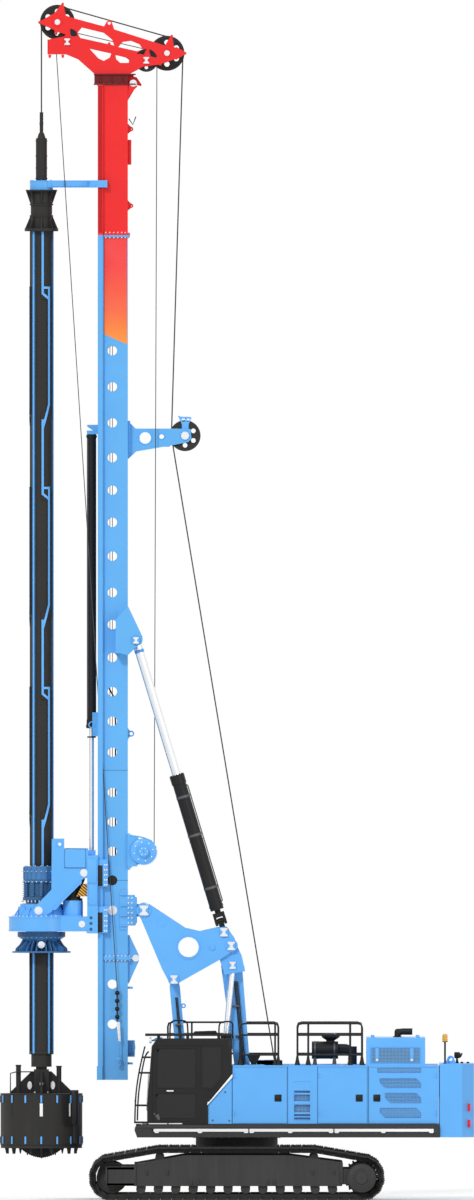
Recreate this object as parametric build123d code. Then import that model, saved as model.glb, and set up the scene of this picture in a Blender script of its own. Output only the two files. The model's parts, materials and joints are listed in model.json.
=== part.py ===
"""Rotary piling rig on crawler tracks, working pose: mast upright, kelly bar and drilling bucket in front.

Frame: millimetres, +Z up, ground at Z 0, slew axis on X 0 / Y 0. The rig faces -X; the cab is on the
-Y side. Every sub-part below is one function that returns its solids; the last lines write them.
"""
from build123d import *
import math
import os

# ---------------------------------------------------------------- helpers


def box(x0, x1, y0, y1, z0, z1):
    """Axis-parallel block between two corners."""
    return Pos((x0 + x1) / 2, (y0 + y1) / 2, (z0 + z1) / 2) * Box(abs(x1 - x0), abs(y1 - y0), abs(z1 - z0))


def both_sides(shape):
    """A piece and its mirror image across the centre plane Y 0."""
    return [shape, mirror(shape, about=Plane.XZ)]


def disc_y(x, z, r, y0, y1):
    """Round bar or disc whose axis runs along Y."""
    return Solid.make_cylinder(r, abs(y1 - y0), Plane((x, min(y0, y1), z), z_dir=(0, 1, 0)))


def disc_z(x, y, r, z0, z1):
    """Upright round bar or disc."""
    return Solid.make_cylinder(r, abs(z1 - z0), Plane((x, y, min(z0, z1)), z_dir=(0, 0, 1)))


def disc_x(y, z, r, x0, x1):
    """Round bar or disc whose axis runs along X."""
    return Solid.make_cylinder(r, abs(x1 - x0), Plane((min(x0, x1), y, z), z_dir=(1, 0, 0)))


def bar(p, q, r):
    """Round bar from point p to point q."""
    p, q = Vector(p), Vector(q)
    return Solid.make_cylinder(r, (q - p).length, Plane(p, z_dir=q - p))


def plate_xz(points, y0, y1, rounding=0):
    """Flat plate from a side outline of (x, z) points; corners may be rounded."""
    face = Face(Wire.make_polygon([Vector(x, 0, z) for x, z in points], close=True))
    if rounding:
        face = fillet(face.vertices(), rounding)
        face = face if isinstance(face, Face) else face.faces()[0]
    return Pos(0, min(y0, y1), 0) * Solid.extrude(face, Vector(0, abs(y1 - y0), 0))


def plate_xy(points, z0, z1):
    """Flat plate from a plan outline of (x, y) points."""
    face = Face(Wire.make_polygon([Vector(x, y, z0) for x, y in points], close=True))
    return Solid.extrude(face, Vector(0, 0, z1 - z0))


def plate_yz(points, x0, x1):
    """Flat plate from a front outline of (y, z) points."""
    face = Face(Wire.make_polygon([Vector(x0, y, z) for y, z in points], close=True))
    return Solid.extrude(face, Vector(x1 - x0, 0, 0))


def fuse(parts):
    """One solid from touching parts."""
    parts = list(parts)
    whole = parts[0].fuse(*parts[1:]) if len(parts) > 1 else parts[0]
    return whole.clean() if hasattr(whole, "clean") else whole


def tube_z(x, y, r_out, r_in, z0, z1):
    """Upright hollow tube."""
    return disc_z(x, y, r_out, z0, z1) - disc_z(x, y, r_in, z0 - 1, z1 + 1)


def turned_about_z(shape, x, degrees):
    """A shape turned about the upright axis at (x, 0)."""
    return Pos(x, 0, 0) * Rot(0, 0, degrees) * Pos(-x, 0, 0) * shape


def polar(centre, r, degrees):
    """Point on a circle in the X-Z side plane, angle from +X towards +Z."""
    a = math.radians(degrees)
    return centre[0] + r * math.cos(a), centre[1] + r * math.sin(a)


# ---------------------------------------------------------------- driving sizes

gap = 5.0                   # clearance between moving pieces
seat_gap = 0.3              # a moving piece at its seat, pin or gland
plate = 30.0                # usual thickness of a structural plate

# undercarriage
overall_width = 4400.0
shoe_width = 800.0
shoe_count = 58
shoe_height = 45.0          # plate thickness of a shoe
wheel_span = 4985.0         # idler to sprocket
end_radius = 460.0          # outside of the shoes round the end wheels
top_run = 1090.0            # top of the raised upper run
carrier_x = 1540.0          # carrier rollers, from the slew axis
carrier_reach = 242.0       # outside of the shoes above a carrier roller's axis
chain_height = 95.0
frame_width = 470.0         # track frame across
roller_count = 12
roller_radius = 95.0
roller_pitch = 348.0
retract = 500.0             # each track draws in by this
sleeve_size = 480.0
sleeve_wall = 40.0
sleeve_x = 900.0
sleeve_z = 560.0
body_half = 700.0
ring_radius = 820.0
ring_top = 1168.0

# upper structure
deck_bottom = 1262.0
deck_top = 1528.0
deck_front = -2040.0
tail_joint = 4040.0         # where the counterweight starts
tail_end = 4740.0
deck_half = 1600.0
beacon_inset = 400.0                # from the deck edge to the flashing lamp
lane_half = 660.0           # open centre lane for boom and winch
house_front = -90.0
house_top = 2693.0
engine_bay_front = 1750.0
sheet = 30.0                # house walls and doors

cab_in, cab_out = -670.0, -1640.0
cab_wall = 50.0
winch = (600.0, 2000.0)
winch_core = 267.0
winch_flange = 360.0
winch_half = 380.0
winch_top = 2794.0
winch_shaft = 70.0
lug_base = deck_top - 10            # lugs on the deck sink a little into its plate

# boom linkage, side-plane points (x, z)
pivot = (-1855.0, 5790.0)           # mast tilts here
link_top = (-1254.0, 4409.0)
boom_top = (-110.0, 5080.0)
strut_top = (-81.0, 4692.0)
stay_foot = (-256.0, 5354.0)
arm_length = 2811.0
arm_lean = 5.3                      # degrees from upright
link_room = 105.0                   # free space round the front link's foot pin
strut_foot = (-370.0, 1630.0)
stay_head = (-2014.0, 11188.0)
stay_y = 400.0
stay_barrel_r = 135.0
stay_rod_r = 90.0
stay_shrink = 2260.0                # rod travel until the mast lies back
strut_y = 370.0
strut_barrel_r = 92.0
strut_rod_r = 60.0
strut_shrink = 865.0                # rod travel until the arms lie forward
eye_half = 40.0
boom_half = 250.0
link_half = 250.0
head_inner = 480.0                  # boom head plates
head_plate = 40.0
tri_inner = 545.0
tri_plate = 40.0
pin_r = 60.0
swing_room = 165.0                  # side room each way beside a stay rod's eye

# mast
mast_front = -2778.0
mast_depth = 600.0
mast_box_half = 295.0
mast_wall = 14.0
rail_half = 390.0
rail_depth = 100.0
mast_foot = 2400.0
lower_joint = 4834.0
upper_joint = 19292.0
mast_head = 22300.0
flange = 40.0
hole_radius = 95.0
hole_x = -2488.0

# kelly, rotary head and bucket
kelly_x = -3906.0
kelly_radius = 215.0
kelly_bore = 178.0
kelly_foot = 2910.0
kelly_head = 19370.0
key_radius = 243.0
key_width = 52.0
sleeve_bore = 256.0
sleeve_r = 310.0
bucket_radius = 818.0
bucket_top = 2130.0
bucket_bottom = 1098.0
bucket_wall = 25.0
wear_strip = 16.0
stub_half = 110.0

# head sheaves: name -> (x, z, radius, pitch radius, y, width)
sheave_rows = {
    "main_sheave_front": (-3586.0, 23550.0, 350.0, 320.0, 0.0, 90.0),
    "main_sheave_rear": (-1396.0, 22930.0, 350.0, 320.0, 0.0, 90.0),
    "service_sheave_front": (-3390.0, 23158.0, 230.0, 212.0, -200.0, 60.0),
    "service_sheave_rear": (-1808.0, 22786.0, 230.0, 212.0, -200.0, 60.0),
    "guide_sheave": (-1034.0, 15282.0, 310.0, 272.0, 0.0, 90.0),
}
head_sheaves = [name for name in sheave_rows if name != "guide_sheave"]
head_plate_y = 260.0
head_shaft = 45.0
guide_shaft = 50.0
head_eye = (-2550.0, 23530.0)       # lifting eye
head_eye_r = 32.0

# ---------------------------------------------------------------- sizes of the smaller pieces

# track frame side outline
girder_front, girder_rear = -2030.0, 2106.0
girder_low, girder_shoulder, girder_crown = 296.0, 774.0, 914.0
crown_run = 1030.0                  # half length of the raised middle

# car body
hub_half = 850.0                    # half width of the centre block

# deck lugs, beams and winch cheeks
beam_width = 80.0
beam_rows = (600.0, deck_half - 60)
cross_rows = (deck_front + 30, -900.0, 900.0, 2200.0, tail_joint - 30)
nose_tip = (deck_front, 1400.0)     # chamfered front end of the deck
nose_low = deck_front + 50
nose_high = deck_front + 190
step_low, step_top = 1270.0, deck_top - 10  # side step beams

# engine house: openings for doors and steps
house_right_front = -1500.0
door_low, door_high = 1548.0, 2663.0
step_x0, step_x1 = 1150.0, 1480.0
step_slots = ((1618.0, 1730.0), (1765.0, 1925.0), (1960.0, 2120.0), (2155.0, 2230.0))
# name, side, x0, x1, hinge edge
door_rows = (
    ("door_left_front", -1, -50.0, 1000.0, -1),
    ("door_left_middle", -1, 1630.0, 2600.0, -1),
    ("door_left_rear", -1, 2640.0, 3990.0, 1),
    ("door_right_front", 1, -1450.0, 900.0, -1),
    ("door_right_rear", 1, 2640.0, 3990.0, 1),
)
hood_front, hood_rear, hood_top = 2592.0, 3764.0, 3252.0
hood_bevel = 80.0

# counterweight
weight_low, weight_high = 1266.0, 2734.0
weight_corner = (240.0, 330.0)      # chamfer of the rear corners, along x and y
weight_eye_x, weight_eye_y = 4282.0, 1000.0
eye_hole = 36.0
eye_outer = 70.0

# cab
cab_outline = ((-1790.0, 1528.0), (-1790.0, 1900.0), (-1700.0, 3080.0), (-1590.0, 3236.0), (-95.0, 3236.0),
               (-95.0, 2520.0), (-574.0, 1990.0), (-574.0, 1528.0))
cab_hollow = ((-1740.0, 1600.0), (-1740.0, 1900.0), (-1655.0, 3060.0), (-1570.0, 3180.0), (-150.0, 3180.0),
              (-150.0, 2545.0), (-620.0, 2030.0), (-620.0, 1600.0))
cab_door_x0, cab_door_x1 = -1690.0, -744.0
cab_door_z0, cab_door_z1 = 1575.0, 3090.0
side_window = ((-1600.0, 1950.0), (-760.0, 1950.0), (-760.0, 3060.0), (-1520.0, 3060.0))
quarter_window = ((-684.0, 2260.0), (-500.0, 2260.0), (-322.0, 2460.0), (-322.0, 3060.0), (-684.0, 3060.0))
screen_low, screen_high = 1700.0, 2960.0
rear_low, rear_high = 2600.0, 3060.0
glass = 8.0

# roof rails: x0, x1, y
rail_rows = (
    (60.0, 860.0, -deck_half + 60),
    (1200.0, 2520.0, -deck_half + 60),
    (1200.0, 2520.0, deck_half - 60),
    (-1400.0, 860.0, deck_half - 60),
)
rail_heights = (230.0, 620.0, 857.0)
rail_r = 18.0

# air cleaner and exhaust on the roof
cleaner_y, cleaner_z, cleaner_r = 1000.0, 2985.0, 175.0
cleaner_front, cleaner_rear, cleaner_pipe = 1502.0, 2030.0, 2330.0
duct_r = 75.0
exhaust_x, exhaust_z, exhaust_r = 3215.0, 3360.0, 62.0

# triangle side plates
tri_outline = ((-1990.0, 5830.0), (-1900.0, 5925.0), (-1746.0, 5911.0), (-1031.0, 5439.0), (-740.0, 5371.0),
               (-389.0, 5451.0), (-207.0, 5463.0), (-38.0, 5221.0), (-1.0, 5027.0), (-110.0, 4954.0),
               (-353.0, 4796.0), (-1104.0, 4372.0), (-1230.0, 4290.0), (-1346.0, 4340.0), (-1492.0, 4615.0),
               (-1916.0, 5620.0), (-1990.0, 5750.0))
tri_window = (-966.0, 5051.0, 204.0)
tri_tubes = ((-1500.0, 5560.0, 90.0), (-490.0, 5046.0, 45.0), (-1480.0, 4840.0, 60.0))

# mast pivot and stay cylinders
mast_pin_r = 75.0
trunnion_r = 120.0
seat_depth = 140.0                  # trunnion seat behind the mast
cross_axis = 230.0                  # sideways-tilt pin of a stay cylinder, from its foot pin
cross_pin_r = 45.0

# mast fittings
middle_holes = (16980.0, 16260.0, 15538.0, 14842.0, 14192.0, 13548.0, 12872.0, 12144.0, 11502.0, 10844.0,
                10162.0, 9570.0, 8950.0, 8146.0, 7556.0, 6968.0)
lower_holes = (4310.0, 3510.0)
fold_y0, fold_y1 = 180.0, 210.0     # fold bracket plates beside the lower joint
fold_x = -1960.0
fold_high, fold_low = 462.0, 506.0    # reach of the fold bracket above and below the lower joint

# service winch on the mast's back
service = (-1862.0, 6968.0)
service_y = -200.0
service_half = 130.0
service_rim = 250.0
service_core = 190.0
service_shaft = 45.0

# crowd cylinder in front of the mast
crowd_x = -2904.0
crowd_r = 94.0
crowd_rod_r = 48.0
crowd_top = 15310.0
crowd_low = 9430.0
crowd_eye = 6916.0

# head side plates
head_outline = ((-3966.0, 23546.0), (-3640.0, 23735.0), (-3476.0, 23950.0), (-3416.0, 23680.0),
                (-3234.0, 23621.0), (-2655.0, 23465.0), (-2600.0, 23560.0), (-2550.0, 23590.0),
                (-2500.0, 23560.0), (-2450.0, 23405.0), (-1436.0, 23083.0), (-1300.0, 23301.0),
                (-1254.0, 23053.0), (-1013.0, 22926.0), (-1270.0, 22796.0), (-1560.0, 22700.0),
                (-1874.0, 22660.0), (-2146.0, 22515.0), (-2842.0, 22515.0), (-3174.0, 22811.0),
                (-3416.0, 22911.0), (-3785.0, 22911.0), (-3785.0, 23198.0), (-3446.0, 23264.0),
                (-3400.0, 23300.0), (-3540.0, 23340.0))
head_windows = (
    ((-3189.0, 23340.0), (-3098.0, 23446.0), (-2660.0, 23340.0), (-2494.0, 23204.0), (-2449.0, 23083.0),
     (-3129.0, 23234.0)),
    ((-2373.0, 23053.0), (-2282.0, 23159.0), (-2116.0, 23180.0), (-1950.0, 23113.0), (-1874.0, 23008.0),
     (-1995.0, 22968.0)),
    ((-2947.0, 23023.0), (-2509.0, 22926.0), (-2539.0, 22841.0), (-2660.0, 22775.0), (-2766.0, 22826.0)),
    ((-2424.0, 22896.0), (-2222.0, 22847.0), (-2152.0, 22796.0), (-2161.0, 22735.0), (-2328.0, 22735.0),
     (-2412.0, 22811.0)),
)
head_base_top = 22520.0

# rotary head
gearbox_low, gearbox_high, gearbox_r = 5370.0, 5665.0, 650.0
carriage_x = -2990.0
carriage_half = 520.0
arm_outline = ((-3698.0, 7220.0), (-3453.0, 7220.0), (-3453.0, 7029.0), (-2971.0, 7029.0), (-2971.0, 6440.0),
               (-3060.0, 6430.0), (-3700.0, 5765.0), (-3850.0, 5660.0), (-4060.0, 5660.0), (-4080.0, 5800.0),
               (-4000.0, 5900.0), (-3706.0, 6203.0))
arm_ear = (-3542.0, 7110.0, 34.0)   # lifting hole in each side arm
claw_rows = ((6264.0, 6810.0), (5338.0, 5870.0))
motor_x, motor_y = -3277.0, 235.0
casing_hole = 76.0
# spring unit and drive flange on the sleeve: radius, z0, z1
sleeve_steps = (
    (sleeve_r, 4945.0, 6640.0),
    (343.0, 6379.0, 6662.0),
    (373.0, 5990.0, 6060.0),
    (478.0, 5262.0, 5350.0),
    (581.0, 4941.0, 4971.0),
)
spring_ring, spring_r = 335.0, 32.0

# kelly bar: head flanges, neck and drive keys
neck_top = 20200.0
neck_low = kelly_head + 60
neck_bore = 125.0
straight_key = -130.0               # degrees round the tube from +X, the others a third of a turn on
stepped_key = -84.0
locked_key = -52.0                  # where a stepped key stands beside its lock pockets
pocket_rows = (18014.0, 14010.0, 10010.0, 6010.0)   # lower end of each lock pocket
pocket_height = 250.0
pocket_reach = 2260.0               # from a pocket down to where its key comes back
bridge_strips = 3

# ---------------------------------------------------------------- worked out from the sizes

track_y = (overall_width - shoe_width) / 2
end_x = wheel_span / 2
mast_rear = mast_front + mast_depth
lean = math.radians(arm_lean)
link_foot = (link_top[0] + arm_length * math.sin(lean), link_top[1] - arm_length * math.cos(lean))
boom_foot = (boom_top[0] + arm_length * math.sin(lean), boom_top[1] - arm_length * math.cos(lean))


def belt(circles):
    """Closed outline round circles given counter-clockwise as (x, z, r): list of (x, z, nx, nz) knots."""
    knots = []
    count = len(circles)
    for i in range(count):
        x0, z0, r0 = circles[i - 1]
        x1, z1, r1 = circles[i]
        x2, z2, r2 = circles[(i + 1) % count]
        angles = []
        for (ax, az, ar), (bx, bz, br) in (((x0, z0, r0), (x1, z1, r1)), ((x1, z1, r1), (x2, z2, r2))):
            along = math.atan2(bz - az, bx - ax)
            lean_in = math.acos((ar - br) / math.hypot(bx - ax, bz - az))
            angles.append(along - lean_in)
        sweep = (angles[1] - angles[0]) % (2 * math.pi)
        knots.append((x1, z1, r1, angles[0], sweep))
    return knots


def belt_points(circles, count):
    """count points spread evenly along a belt, each as (x, z, nx, nz), starting on the first circle."""
    knots = belt(circles)
    runs = []
    for i, (x, z, r, start, sweep) in enumerate(knots):
        runs.append(("arc", r * sweep, (x, z, r, start)))
        nx, nz, nr, nstart, _ = knots[(i + 1) % len(knots)]
        a = start + sweep
        p = (x + r * math.cos(a), z + r * math.sin(a))
        q = (nx + nr * math.cos(nstart), nz + nr * math.sin(nstart))
        runs.append(("line", math.dist(p, q), (p, q, a)))
    total = sum(length for _, length, _ in runs)
    points = []
    for i in range(count):
        s = total * i / count
        for kind, length, data in runs:
            if s <= length:
                break
            s -= length
        if kind == "arc":
            x, z, r, start = data
            a = start + s / r
            points.append((x + r * math.cos(a), z + r * math.sin(a), math.cos(a), math.sin(a)))
        else:
            p, q, a = data
            t = s / length
            points.append((p[0] + t * (q[0] - p[0]), p[1] + t * (q[1] - p[1]), math.cos(a), math.sin(a)))
    return points


# ---------------------------------------------------------------- undercarriage

track_circles = [
    (-end_x, end_radius, end_radius),
    (end_x, end_radius, end_radius),
    (carrier_x, top_run - carrier_reach, carrier_reach),
    (-carrier_x, top_run - carrier_reach, carrier_reach),
]


def track_loop(side):
    """Endless track: flat shoes with a small step at each joint, on the chain, as one closed loop."""
    joints = belt_points(track_circles, shoe_count * 2)
    step = 14.0
    outer, inner = [], []
    for i in range(shoe_count):
        x0, z0, nx0, nz0 = joints[2 * i]
        x1, z1, nx1, nz1 = joints[2 * i + 1]
        outer.append((x0, z0))
        outer.append((x0 * 0.28 + x1 * 0.72 - step * nx0, z0 * 0.28 + z1 * 0.72 - step * nz0))
        outer.append((x1, z1))
        inner.append((x0 - (shoe_height + chain_height) * nx0, z0 - (shoe_height + chain_height) * nz0))
    low = min(z for _, z in outer)
    outer = [(x, z - low) for x, z in outer]
    inner = [(x, z - low) for x, z in inner]
    y0, y1 = side * (track_y - shoe_width / 2), side * (track_y + shoe_width / 2)
    band = plate_xz(outer, y0, y1) - plate_xz(inner, y0, y1)
    return band


def track_frame(side):
    """Side frame with its telescopic beams, rollers, idler and sprocket in one piece."""
    y0, y1 = track_y - frame_width / 2, track_y + frame_width / 2
    front, rear, low = girder_front, girder_rear, girder_low
    outline = [(front, low), (rear, low), (rear, girder_shoulder), (crown_run, girder_crown),
               (-crown_run, girder_crown), (front, girder_shoulder - 40)]
    pieces = [plate_xz(outline, side * y0, side * y1)]
    wheel_r = (end_radius - shoe_height - chain_height) * math.cos(0.24) - 4
    for x in (-end_x, end_x):
        pieces.append(disc_y(x, end_radius, wheel_r, side * (track_y - 90), side * (track_y + 90)))
        pieces.append(disc_y(x, end_radius, 150, side * (y0 - 20), side * (y1 + 20)))
    # idler yoke at the front, final drive housing at the rear
    pieces.append(box(-end_x - 90, front + 20, side * (y0 + 10), side * (y1 + 30), 300, 690))
    pieces.append(disc_y(end_x, end_radius, 286, side * (y0 + 20), side * (y1 + 60)))
    pieces.append(box(rear - 20, end_x, side * (y0 + 30), side * (y1 - 10), 330, 640))
    floor = shoe_height + chain_height
    for i in range(roller_count):
        x = (i - (roller_count - 1) / 2) * roller_pitch
        z = floor + roller_radius + seat_gap + 0.12
        pieces.append(disc_y(x, z, roller_radius, side * (track_y - 170), side * (track_y + 170)))
        pieces.append(box(x - 60, x + 60, side * (track_y - 150), side * (track_y + 150), z, low + 5))
    for x in (-carrier_x, carrier_x):
        r = carrier_reach - shoe_height - chain_height - 12
        pieces.append(disc_y(x, top_run - carrier_reach, r, side * (track_y - 150), side * (track_y + 150)))
        pieces.append(box(x - 35, x + 35, side * (track_y - 60), side * (track_y + 60),
                          girder_shoulder - 60, top_run - carrier_reach))
    inner_end = track_y - frame_width / 2 - 1000
    beam = sleeve_size / 2 - sleeve_wall - gap
    for x in (-sleeve_x, sleeve_x):
        pieces.append(box(x - beam, x + beam, side * inner_end, side * (y0 + 20), sleeve_z - beam,
                          sleeve_z + beam + gap - seat_gap))
    return fuse(pieces)


def car_body():
    """Centre body with the sleeves that the track beams slide in, and the slew ring's seat."""
    reach = overall_width / 2 - shoe_width - retract + 140
    half = sleeve_size / 2
    pieces = [box(-body_half, body_half, -hub_half, hub_half, sleeve_z - half + 60, top_run - 60)]
    for x in (-sleeve_x, sleeve_x):
        pieces.append(box(x - half, x + half, -reach, reach, sleeve_z - half, sleeve_z + half))
    pieces.append(disc_z(0, 0, ring_radius - 60, top_run - 100, ring_top - 60))
    pieces.append(disc_z(0, 0, ring_radius, ring_top - 68, ring_top))
    whole = fuse(pieces)
    hole = half - sleeve_wall
    for x in (-sleeve_x, sleeve_x):
        whole = whole - box(x - hole, x + hole, -reach - 1, reach + 1, sleeve_z - hole, sleeve_z + hole)
    return whole


# ---------------------------------------------------------------- upper structure


def lug_pair(outline, y_in, width):
    """Two like lugs, one on each side of the centre plane."""
    return both_sides(plate_xz(outline, y_in, y_in + width))


def pin_lug(x, z, foot, neck, shoulder):
    """Outline of a lug on the deck: foot half width, then neck half width at a height below the pin."""
    return [(x - foot, lug_base), (x + foot, lug_base), (x + neck, z + shoulder), (x + 50, z + 95),
            (x - 50, z + 95), (x - neck, z + shoulder)]


def deck_frame():
    """Top plate on long beams and cross beams, and the slew race, as touching pieces."""
    pieces = [box(deck_front, tail_joint, -deck_half, deck_half, deck_top - plate, deck_top)]
    half = beam_width / 2
    for row in beam_rows:
        for y in (-row, row):
            pieces.append(box(deck_front, tail_joint + 15, y - half, y + half, deck_bottom, deck_top))
    for x in cross_rows:
        pieces.append(box(x - 30, x + 30, -deck_half, deck_half, deck_bottom, deck_top - plate + 5))
    pieces.append(disc_z(0, 0, ring_radius, ring_top + seat_gap, deck_bottom + 40))
    return pieces


def nose_cuts(half):
    """Wedges that leave a blunt chamfered nose on the deck's front end."""
    x, z = nose_tip
    before, below, above = x - 10, deck_bottom - 10, deck_top + 10
    lower = [(before, below), (nose_low, below), (nose_low, deck_bottom), (x, z), (before, z)]
    upper = [(before, z + 40), (x, z + 40), (nose_high, deck_top), (nose_high, above), (before, above)]
    return [plate_xz(lower, -half, half), plate_xz(upper, -half, half)]


def deck():
    """Main frame: beams and plate, arm and cylinder lugs, winch cheeks."""
    x, z = link_foot
    well = box(x - link_room, x + link_room, -link_half - gap, link_half + gap, z - link_room, z + link_room)
    pieces = [piece - well for piece in deck_frame()]
    pieces += lug_pair(pin_lug(x, z, 240, 90, 40), link_half + gap, plate)
    pieces.append(disc_y(x, z, pin_r, -link_half - gap - plate, link_half + gap + plate))
    x, z = boom_foot
    pieces += lug_pair([(x - 310, lug_base), (x + 75, lug_base), (x + 75, z - 100), (x + 120, z + 9),
                        (x + 65, z + 124), (x - 65, z + 124), (x - 125, z + 9)], boom_half + gap, plate)
    pieces.append(disc_y(x, z, pin_r, -boom_half - gap - plate, boom_half + gap + plate))
    x, z = strut_foot
    for y_in in (strut_y - eye_half - gap - plate, strut_y + eye_half + gap):
        pieces += lug_pair(pin_lug(x, z, 220, 95, 30), y_in, plate)
    outer = strut_y + eye_half + gap + plate
    inner = strut_y - eye_half - gap - plate
    pieces += both_sides(disc_y(x, z, pin_r, inner, outer))
    x, z = winch
    cheek = [(x - 310, lug_base), (x + 350, lug_base), (x + 310, winch_top), (x - 194, winch_top)]
    pieces += lug_pair(cheek, winch_half + 20, plate)
    pieces.append(disc_y(x, z, winch_shaft, -(winch_half + 40), winch_half + 40))
    for x0, x1 in ((x - 194, x - 60), (x + 250, x + 310)):
        pieces.append(box(x0, x1, -winch_half - 30, winch_half + 30, winch_top - 50, winch_top))
    whole = fuse(pieces)
    for cut in nose_cuts(deck_half + 1):
        whole = whole - cut
    return whole


def main_winch_drum():
    """Hoist drum on its shaft."""
    core = disc_y(*winch, winch_core, -winch_half, winch_half)
    rims = [disc_y(*winch, winch_flange, s * (winch_half - 30), s * winch_half) for s in (-1, 1)]
    return fuse([core, *rims]) - disc_y(*winch, winch_shaft + seat_gap, -winch_half - 1, winch_half + 1)


def engine_house():
    """Side boxes and engine bay: thin walls with the door openings left out."""
    bays = (
        (house_front, -deck_half, -lane_half),
        (house_right_front, lane_half, deck_half),
        (engine_bay_front, -deck_half, deck_half),
    )
    t = sheet
    shell = fuse(box(x0, tail_joint, y0, y1, deck_top, house_top) for x0, y0, y1 in bays)
    for x0, y0, y1 in bays:
        shell = shell - box(x0 + t, tail_joint - t, y0 + t, y1 - t, deck_top + 10, house_top - t)
    for _, side, x0, x1, hinge_at in door_rows:
        y_out, y_in = side * (deck_half + 10), side * (deck_half - t - 10)
        front_gap, rear_gap = (seat_gap, gap) if hinge_at < 0 else (gap, seat_gap)
        shell = shell - box(x0 - front_gap, x1 + rear_gap, y_in, y_out, door_low - gap, door_high + gap)
    for z0, z1 in step_slots:
        shell = shell - box(step_x0, step_x1, -deck_half - 10, -deck_half + t + 10, z0, z1)
    return shell


def house_door(side, x0, x1):
    """Flat door panel that fills its opening, flush with the house side."""
    return box(x0, x1, side * (deck_half - sheet), side * deck_half, door_low, door_high)


def hood():
    """Raised radiator hood on the engine bay, hollow, open below."""
    half = deck_half - 10
    corner, shoulder = half - 0.75 * hood_bevel, hood_top - hood_bevel
    outer = plate_yz([(-half, house_top), (half, house_top), (half, shoulder), (corner, hood_top),
                      (-corner, hood_top), (-half, shoulder)], hood_front, hood_rear)
    inner = box(hood_front + sheet, hood_rear - sheet, -half + sheet, half - sheet, house_top - 1,
                hood_top - sheet - 60)
    return outer - inner


def engine():
    """Engine and pump as one heavy block."""
    return box(2500, 3900, -500, 700, deck_top + 10, 2450)


def counterweight():
    """Tail weight with chamfered rear edges and lifting eyes."""
    half, front = deck_half, tail_joint + 15
    cut_x, cut_y = weight_corner
    plan = [(front, -half), (tail_end - cut_x, -half), (tail_end, -half + cut_y),
            (tail_end, half - cut_y), (tail_end - cut_x, half), (front, half)]
    block = plate_xy(plan, weight_low, weight_high)
    x, z = weight_eye_x, weight_high + eye_outer
    pieces = [block]
    for y in (-weight_eye_y, weight_eye_y):
        eye = plate_xz([(x - 112, weight_high - 5), (x + 108, weight_high - 5), (x + 58, weight_high + 90),
                        (x - 62, weight_high + 90)], y - 25, y + 25)
        pieces.append(fuse([eye, disc_y(x, z, eye_outer, y - 25, y + 25)]))
    whole = fuse(pieces)
    for y in (-weight_eye_y, weight_eye_y):
        whole = whole - disc_y(x, z, eye_hole, y - 26, y + 26)
    return whole


def catwalk(side):
    """Side step beam along the deck with a long recess."""
    y0, y1 = side * deck_half, side * (deck_half + 90)
    x, z = nose_tip
    beam = plate_xz([(x, z), (x, z + 40), (nose_high, step_top), (tail_joint, step_top),
                     (tail_joint, step_low), (nose_low, step_low)], y0, y1)
    recess = box(deck_front + 330, tail_joint - 100, side * (deck_half + 60), side * (deck_half + 100),
                 step_low + 60, step_low + 170)
    return beam - recess


def cab_door_blank(grow=0.0, hinge_grow=0.0):
    """Solid the size of the cab door, grown for its opening."""
    x0, x1, z0, z1 = cab_door_x0 - grow, cab_door_x1 + hinge_grow, cab_door_z0 - grow, cab_door_z1 + grow
    reach = 60 if grow else 0
    return plate_xz([(x0, z0), (x1, z0), (x1, z1), (x0 + 110, z1), (x0 + 20, z1 - 130)],
                    cab_out - reach, cab_out + cab_wall + reach)


def cab_shell():
    """Hollow cab with its window openings and doorway."""
    outer = plate_xz(cab_outline, cab_in, cab_out)
    inner = plate_xz(cab_hollow, cab_in - cab_wall, cab_out + cab_wall)
    shell = outer - inner - cab_door_blank(gap, seat_gap)
    # windscreen, rear window, inner side window and rear quarter window
    shell = shell - box(-1900, -1600, cab_in - 90, cab_out + 90, screen_low, screen_high)
    shell = shell - box(-200, 0, cab_in - 120, cab_out + 120, rear_low, rear_high)
    shell = shell - plate_xz(side_window, cab_in + 10, cab_in - 90)
    return shell - plate_xz(quarter_window, cab_out - 10, cab_out + 90)


def cab_door():
    """Cab door frame with upper and lower window openings."""
    door = cab_door_blank()
    door = door - box(-1590, -824, cab_out - 10, cab_out + 90, 2256, 3030)
    return door - box(-1610, -824, cab_out - 10, cab_out + 90, 1653, 2131)


def cab_glass():
    """Fixed panes of the cab."""
    return [
        box(-1690, -1690 + glass, cab_in - 90, cab_out + 90, screen_low, screen_high),
        box(-124, -124 + glass, cab_in - 120, cab_out + 120, rear_low, rear_high),
        plate_xz(side_window, cab_in - 20, cab_in - 20 - glass),
        plate_xz(quarter_window, cab_out + 20, cab_out + 20 + glass),
    ]


def cab_interior():
    """Seat on its plinth and console."""
    return fuse([
        box(-1140, -640, -1360, -900, 1600, 1800),
        box(-1200, -640, -1400, -860, 1800, 1960),
        plate_xz([(-760, 1950), (-650, 1950), (-540, 2600), (-650, 2600)], -860, -1400),
        box(-1150, -640, -840, -740, 1600, 2080),
    ])


def handrails():
    """Roof rails over the left and right side boxes."""
    base, top = house_top, house_top + rail_heights[-1]
    pieces = []
    for x0, x1, y in rail_rows:
        inset = 0.2 * (x1 - x0)
        posts = (x0, x1) if x1 - x0 < 900 else (x0, x0 + inset, x1 - inset, x1)
        frame = [bar((x, y, base), (x, y, top), rail_r) for x in posts]
        frame += [bar((x0, y, base + h), (x1, y, base + h), rail_r) for h in rail_heights[:-1]]
        frame.append(bar((x0 - rail_r, y, top), (x1 + rail_r, y, top), rail_r))
        pieces.append(fuse(frame))
    return pieces


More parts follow.
